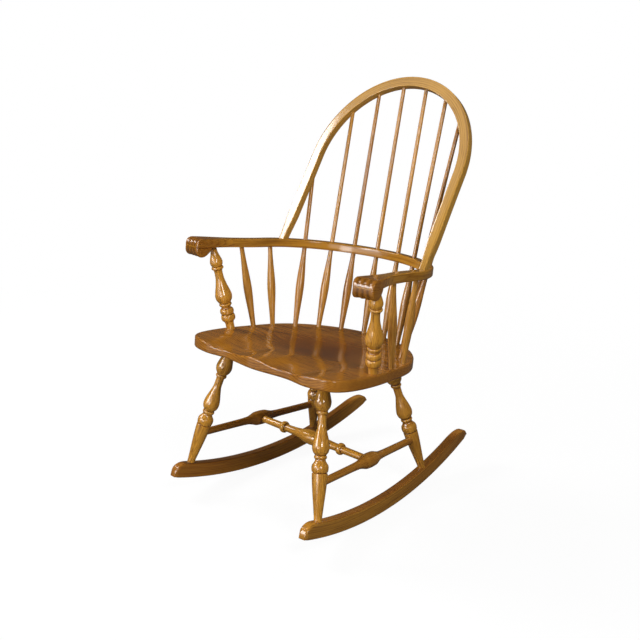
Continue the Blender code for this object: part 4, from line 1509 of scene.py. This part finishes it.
@dataclass(frozen=True)
class Undercarriage:
    """Turned legs between the seat and the rockers, and the stretchers that tie them.

    The cuts of a leg are shares of its length from the seat down. Those of a stretcher are pairs of
    millimetres: the distance from its middle, or from the middle of a ring, and the radius there.
    """

    lines: ChairLines
    facets: int = 40
    spacing: float = 0.0017
    leg: tuple[Cut, ...] = (
        Cut(
            Stroke.SWEEP,
            (-0.03, 0.0, 0.03, 0.105, 0.150, 0.180, 0.206, 0.213),
            (12.8, 12.8, 13.2, 18.5, 21.2, 19.6, 14.4, 12.8),
        ),
        Cut(Stroke.BEAD, (0.2135, 0.2390), (12.0, 14.4)),
        Cut(
            Stroke.SWEEP,
            (0.240, 0.262, 0.310, 0.370, 0.430, 0.473, 0.505, 0.524, 0.531),
            (11.1, 10.4, 10.4, 14.3, 19.3, 21.3, 19.3, 15.2, 13.3),
        ),
        Cut(Stroke.BEAD, (0.5315, 0.5570), (13.0, 15.7)),
        Cut(
            Stroke.SWEEP,
            (0.5575, 0.566, 0.582, 0.603, 0.620, 0.640, 0.6505),
            (12.9, 12.9, 15.4, 20.0, 20.8, 20.2, 19.2),
        ),
        Cut(Stroke.SWEEP, (0.6510, 0.6560, 0.6610), (18.4, 17.0, 18.4)),
        Cut(Stroke.SWEEP, (0.6615, 0.700, 0.790, 0.895, 1.0, 1.01), (19.3, 18.8, 16.4, 12.8, 9.7, 9.6)),
    )

    # Stretchers.
    side_bulb: Pairs = ((0.0, 19.7), (16.0, 18.8), (30.0, 14.6), (44.0, 11.2), (70.0, 10.0))
    cross_bulb: Pairs = ((0.0, 19.7), (18.0, 18.6), (36.0, 14.6), (60.0, 11.6))
    ring_middle: float = 103.2
    ring_half: float = 7.0
    ring_radii: tuple[float, float] = (12.2, 16.0)
    ring_inside: Pairs = ((-12.0, 10.2), (-7.2, 10.6))
    ring_outside: Pairs = ((7.2, 10.6), (12.0, 10.1))
    side_slim: tuple[float, float] = (40.0, 9.6)
    cross_slim: tuple[float, float] = (30.0, 9.7)
    stretcher_end: float = 9.6

    # Painted shade on the rear legs and the side stretchers under the seat, with more on the left side
    # stretcher.
    rear_painted_shade: float = 0.28
    side_painted_shade: float = 0.42
    left_painted_shade: float = 0.20

    def leg_surface(self, end: End, side: Side) -> Surface:
        """Skin of a leg, turned from its top in the seat to its foot on the rocker."""
        top, foot = self.lines.leg_ends(end, side)
        return turned(Placing.along(top, foot), self.leg, span(top, foot), self.facets, self.spacing)

    def even(self, start: Array, end: Array, half: tuple[Cut, ...]) -> Surface:
        """Skin of a stretcher whose two halves are alike.

        Args:
            start: One end of the stretcher.
            end: The other end.
            half: Cuts of the half towards the end, in millimetres from the middle.

        Returns:
            The closed surface.
        """
        cuts = (*(cut.mirrored() for cut in half[::-1]), *half)
        middle = Placing.along((start + end) / 2.0, end)
        return turned(middle, cuts, MM, self.facets, self.spacing)

    def slim_end(self, half: float, slim: tuple[float, float]) -> Pairs:
        """Last two pairs of a stretcher: a slim radius a distance before its end, and the end's radius."""
        return (half - slim[0], slim[1]), (half, self.stretcher_end)

    def side_surface(self, side: Side) -> Surface:
        """Skin of a side stretcher: a bulb in its middle and slim ends.

        Args:
            side: The stretcher's side.

        Returns:
            The closed surface.
        """
        front, rear = self.lines.stretcher_ends(side)
        pairs = self.side_bulb + self.slim_end(span(front, rear) / MM / 2.0, self.side_slim)
        return self.even(front, rear, (Cut(Stroke.SWEEP, *zip(*pairs)),))

    def cross_surface(self) -> Surface:
        """Skin of the cross stretcher: a bulb in its middle and a ring on each side of it.

        Returns:
            The closed surface.
        """
        left, right = self.lines.cross_ends()
        ring = self.ring_middle
        inside, outside = (
            [(ring + at, radius) for at, radius in pairs] for pairs in (self.ring_inside, self.ring_outside)
        )
        end = self.slim_end(span(left, right) / MM / 2.0, self.cross_slim)
        bulb = Cut(Stroke.SWEEP, *zip(*self.cross_bulb, *inside))
        bead = Cut(Stroke.BEAD, (ring - self.ring_half, ring + self.ring_half), self.ring_radii)
        return self.even(left, right, (bulb, bead, Cut(Stroke.SWEEP, *zip(*outside, *end))))

    def build(self, shop: Workshop) -> None:
        """Make the legs and the stretchers.

        Args:
            shop: The workshop that finishes them.
        """
        for side in Side:
            for end in End:
                # Rear legs get painted shade from under the seat.
                stain = self.rear_painted_shade if end is End.REAR else 0.0
                shop.finish(f"{end.value}_leg_{side.label}", Wood.TURNED, self.leg_surface(end, side), stain)
            # Side stretchers get painted shade from under the seat, more on the left.
            stain = self.side_painted_shade + (self.left_painted_shade if side is Side.LEFT else 0.0)
            shop.finish("side_stretcher_" + side.label, Wood.TURNED, self.side_surface(side), stain)
        shop.finish("cross_stretcher", Wood.TURNED, self.cross_surface())


@dataclass(frozen=True)
class Posts:
    """Turned arm posts: two beads, a ring, a vase, a ring and a small bulb under the arm."""

    lines: ChairLines
    facets: int = 40
    spacing: float = 0.0015
    post: tuple[Cut, ...] = (
        Cut(Stroke.SWEEP, (-0.06, 0.0, 0.06, 0.085, 0.1005), (11.4, 11.4, 11.6, 12.7, 15.0)),
        Cut(Stroke.BEAD, (0.1010, 0.1790), (15.3, 19.2)),
        Cut(Stroke.BEAD, (0.1820, 0.2500), (14.9, 18.7)),
        Cut(Stroke.SWEEP, (0.2505, 0.262, 0.274, 0.2835), (13.9, 12.8, 13.3, 14.6)),
        Cut(Stroke.BEAD, (0.2840, 0.3160), (14.2, 17.1)),
        Cut(
            Stroke.SWEEP,
            (0.3165, 0.336, 0.368, 0.405, 0.455, 0.548, 0.636, 0.690, 0.7260),
            (15.0, 17.8, 21.7, 22.8, 20.6, 14.7, 11.2, 10.9, 12.2),
        ),
        Cut(Stroke.BEAD, (0.7265, 0.7620), (12.8, 16.3)),
        Cut(
            Stroke.SWEEP,
            (0.7625, 0.785, 0.812, 0.850, 0.910, 0.950, 1.0, 1.06),
            (13.4, 15.9, 17.1, 15.2, 10.8, 9.1, 8.8, 8.8),
        ),
    )

    def surface(self, side: Side) -> Surface:
        """Skin of a post, turned from the seat to the arm."""
        foot, top = side.of(self.lines.post_foot), side.of(self.lines.post_top)
        return turned(Placing.along(foot, top), self.post, span(foot, top), self.facets, self.spacing)

    def build(self, shop: Workshop) -> None:
        """Make both posts."""
        for side in Side:
            shop.finish("arm_post_" + side.label, Wood.TURNED, self.surface(side))


@dataclass(frozen=True)
class Spindles:
    """Turned spindles: eight long ones up to the hoop, and two short ones under each arm.

    The swelling is pairs of a share of the way from the seat to the rail and a radius in millimetres.
    """

    lines: ChairLines
    facets: int = 28
    spacing: float = 0.005
    sink: float = 0.012
    swelling: Pairs = (
        (0.0, 6.8),
        (0.18, 8.3),
        (0.36, 10.6),
        (0.48, 11.4),
        (0.60, 10.5),
        (0.80, 7.5),
        (0.93, 6.2),
    )
    above_rail: float = 1.12
    at_rail: float = 6.0
    tip: float = 5.0
    left_darkening: tuple[float, ...] = (0.20, 0.36, 0.10, 0.30)
    right_darkening: tuple[float, ...] = (0.10, 0.26, 0.42, 0.42)

    def surface(self, foot: Array, under_rail: Array, top: Array | None) -> Surface:
        """Skin of a spindle: a swelling below the rail, and a slow taper above it.

        Args:
            foot: Where it stands on the seat.
            under_rail: Where it meets the rail.
            top: Where it ends in the hoop, or nothing for a short spindle.

        Returns:
            The closed surface.
        """
        run = span(foot, under_rail)
        if top is None:
            end = ((1.0 + self.sink / run, self.at_rail),)
        else:
            end = ((self.above_rail, self.at_rail), (span(foot, top) / run, self.tip))
        start = (-self.sink / run, self.swelling[0][1])
        cut = Cut(Stroke.SWEEP, *zip(start, *self.swelling, *end))
        return turned(Placing.along(foot, under_rail), (cut,), run, self.facets, self.spacing)

    def build(self, shop: Workshop) -> None:
        """Make every spindle.

        Args:
            shop: The workshop that finishes them.
        """
        for side in Side:
            stains = self.left_darkening if side is Side.LEFT else self.right_darkening
            for index, stain in enumerate(stains):
                foot, crossing, top = (side.of(point) for point in self.lines.long_route(index))
                node = f"long_spindle_{side.label}_{index + 1}"
                shop.finish(node, Wood.SPINDLE, self.surface(foot, crossing, top), stain)
            for index in range(len(self.lines.short_ring_angles)):
                foot, top = (side.of(point) for point in self.lines.short_route(index))
                node = f"short_spindle_{side.label}_{index + 1}"
                shop.finish(node, Wood.SPINDLE, self.surface(foot, top, None))


@dataclass(frozen=True)
class Lamp:
    """A soft studio lamp that points at the chair. It lights the wood, or only shows in the varnish.

    Its angles are degrees, round from the chair's front towards its right and up from the floor.
    """

    name: str
    azimuth: float
    elevation: float
    watts: float
    width: float = 1.1
    height: float = 1.1
    distance: float = 3.2
    mirrored: bool = False

    def aim(self, target: Array) -> Matrix:
        """Place and direction of the lamp.

        Args:
            target: The point that the lamp shines at.

        Returns:
            The lamp's matrix, with its width level.
        """
        turn, rise = math.radians(self.azimuth), math.radians(self.elevation)
        level = math.cos(rise)
        away = np.array([level * math.sin(turn), -level * math.cos(turn), math.sin(rise)])
        side = unit(np.cross(UP, away))
        matrix = np.eye(4)
        matrix[:3] = np.stack([side, np.cross(away, side), away, target + self.distance * away], axis=-1)
        return Matrix(matrix.tolist())

    def hang(self, target: Array) -> None:
        """Hang the lamp.

        Args:
            target: The point that the lamp shines at.
        """
        light = bpy.data.lights.new(self.name, "AREA")
        light.shape = "RECTANGLE"
        light.size = self.width
        light.size_y = self.height
        light.energy = self.watts
        item = put(self.name, light)
        item.visible_glossy = self.mirrored
        item.visible_diffuse = not self.mirrored
        item.visible_camera = False
        item.matrix_world = self.aim(target)


@dataclass(frozen=True)
class Studio:
    """Pale floor, soft lamps, a white surrounding and the camera."""

    target: tuple[float, float, float] = (0.0, -0.02, 0.48)

    # Floor and surrounding.
    floor_size: float = 600.0
    floor_tone: float = 0.95
    floor_bounce: float = 0.05
    floor_glow: float = 0.93
    mirrored: float = 0.02
    surround: float = 0.035
    clearing: tuple[float, float] = (0.7, 2.4)

    # Camera.
    camera_place: tuple[float, float, float] = (1.6865, -1.8473, 1.2632)
    azimuth: float = math.radians(43.07)
    elevation: float = math.radians(17.79)
    lens: float = 56.25
    sensor: float = 36.0
    sight: float = 1000.0

    # Lamps that light the wood, and cards that only show in the varnish.
    lamps: tuple[Lamp, ...] = (
        Lamp("left_lamp", -75.0, 30.0, 92.0),
        Lamp("front_lamp", 0.0, 8.0, 54.0),
        Lamp("right_lamp", 70.0, 42.0, 56.0),
        Lamp("low_lamp", 52.0, 7.0, 12.0),
        Lamp("back_lamp", 180.0, 22.0, 34.0),
        Lamp("left_card", -21.0, 19.0, 54.0, width=1.2, height=1.2, mirrored=True),
        Lamp("front_card", 10.0, 2.0, 12.0, width=0.8, height=0.8, mirrored=True),
        Lamp("right_card", 56.0, 22.0, 30.0, width=0.8, height=0.8, mirrored=True),
        Lamp("strip_card", -5.0, 8.0, 32.0, width=5.0, mirrored=True),
        Lamp("sheen_card", -62.5, 37.0, 22.0, width=0.70, height=0.70, mirrored=True),
        Lamp("arch_card", -58.0, 52.0, 2.4, width=1.0, height=1.0, mirrored=True),
        Lamp("low_card", -15.0, -9.0, 1.2, width=1.6, height=0.5, distance=1.45, mirrored=True),
    )

    def whiteness(self, bench: Bench) -> Wire:
        """How white the surrounding is for a ray.

        Args:
            bench: The bench of the floor's material or of the world.

        Returns:
            One for what the camera sees, less for what the varnish mirrors, and 0 for light on the wood.
        """
        rays = ("Camera", "Glossy", "Transmission")
        camera, glossy, clear = (bench.node("ShaderNodeLightPath", {}, {}, f"Is {ray} Ray") for ray in rays)
        return bench.math("MAXIMUM", camera, clear) + glossy * self.mirrored

    def floor_material(self) -> bpy.types.Material:
        """Pale floor that glows for the camera, most of all away from the chair, and keeps its shadow.

        Returns:
            The floor's material.
        """
        material = bpy.data.materials.new("pale_floor")
        material.use_nodes = True
        bench = Bench(material.node_tree)
        seen = bench.node("ShaderNodeLightPath", {}, {}, "Is Camera Ray")
        shade, pale = ((tone,) * 3 for tone in (self.floor_bounce, self.floor_tone))
        plain = bench.node("ShaderNodeBsdfDiffuse", {}, {"Color": bench.mix(seen, shade, pale)})
        glow = bench.node("ShaderNodeEmission", {}, {"Color": WHITE, "Strength": 1.0})
        away = bench.length(bench.node("ShaderNodeTexCoord", {}, {}, "Object")).share(*self.clearing)
        share = self.whiteness(bench) * (self.floor_glow + (1.0 - self.floor_glow) * away)
        surface = bench.node("ShaderNodeMixShader", {}, {0: share, 1: plain, 2: glow})
        bench.node("ShaderNodeOutputMaterial", {}, {"Surface": surface})
        return material

    def build_floor(self) -> None:
        """Lay the floor."""
        reach = self.floor_size / 2.0
        corners = [(-reach, -reach, 0.0), (reach, -reach, 0.0), (reach, reach, 0.0), (-reach, reach, 0.0)]
        mesh = bpy.data.meshes.new("studio_floor")
        mesh.from_pydata(corners, [], [(0, 1, 2, 3)])
        mesh.materials.append(self.floor_material())
        put("studio_floor", mesh)

    def build_surround(self) -> None:
        """Set the surrounding, which is white to the camera and lights the wood a little."""
        world = bpy.data.worlds.new("white_surrounding")
        world.use_nodes = True
        bpy.context.scene.world = world
        bench = Bench(world.node_tree)
        strength = self.whiteness(bench) * (1.0 - self.surround) + self.surround
        sky = bench.node("ShaderNodeBackground", {}, {"Color": WHITE, "Strength": strength})
        bench.node("ShaderNodeOutputWorld", {}, {"Surface": sky})

    def build_camera(self) -> None:
        """Set the camera at the photograph's angle."""
        camera = bpy.data.cameras.new("photo_camera")
        camera.lens = self.lens
        camera.sensor_width = self.sensor
        camera.clip_end = self.sight
        item = put("photo_camera", camera)
        item.location = self.camera_place
        item.rotation_euler = (QUARTER - self.elevation, 0.0, self.azimuth)
        bpy.context.scene.camera = item

    def build(self) -> None:
        """Make the studio."""
        self.build_floor()
        for lamp in self.lamps:
            lamp.hang(np.array(self.target))
        self.build_surround()
        self.build_camera()
        bpy.context.scene.view_settings.view_transform = "Standard"


FINISHES = (
    OakFinish(
        Wood.SEAT,
        (0.405, 0.160, 0.018),
        (0.155, 0.050, 0.005),
        ring=0.0040,
        ring_strength=0.80,
        roughness=0.13,
    ),
    OakFinish(
        Wood.TURNED,
        (0.59, 0.276, 0.034),
        (0.205, 0.072, 0.009),
        ring=0.0030,
        ring_strength=0.46,
        coat=0.55,
        coat_roughness=0.10,
    ),
    OakFinish(Wood.SPINDLE, (0.53, 0.250, 0.040), (0.190, 0.068, 0.010)),
    OakFinish(Wood.ARM, (0.49, 0.224, 0.024), (0.175, 0.060, 0.006), roughness=0.14),
    OakFinish(
        Wood.HOOP,
        (0.52, 0.275, 0.050),
        (0.215, 0.098, 0.015),
        roughness=0.12,
        coat=0.60,
        coat_roughness=0.13,
        relief=0.006,
        streak_strength=0.35,
    ),
    OakFinish(Wood.ROCKER, (0.51, 0.230, 0.030), (0.190, 0.070, 0.009)),
)


def write_sizes() -> None:
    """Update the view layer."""
    bpy.context.view_layer.update()


def main() -> None:
    """Build the chair piece by piece, then the studio round it."""
    logging.basicConfig(level=logging.INFO, format="%(name)s: %(message)s")
    LOG.info("%d packed nodes to finish", len(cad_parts))
    lines = ChairLines()
    shop = Workshop(FINISHES)
    for assembly in (Seat, Arms, Hoop, Rockers, Undercarriage, Posts, Spindles):
        assembly(lines).build(shop)
    Studio().build()
    write_sizes()


if __name__ == "__main__":
    main()
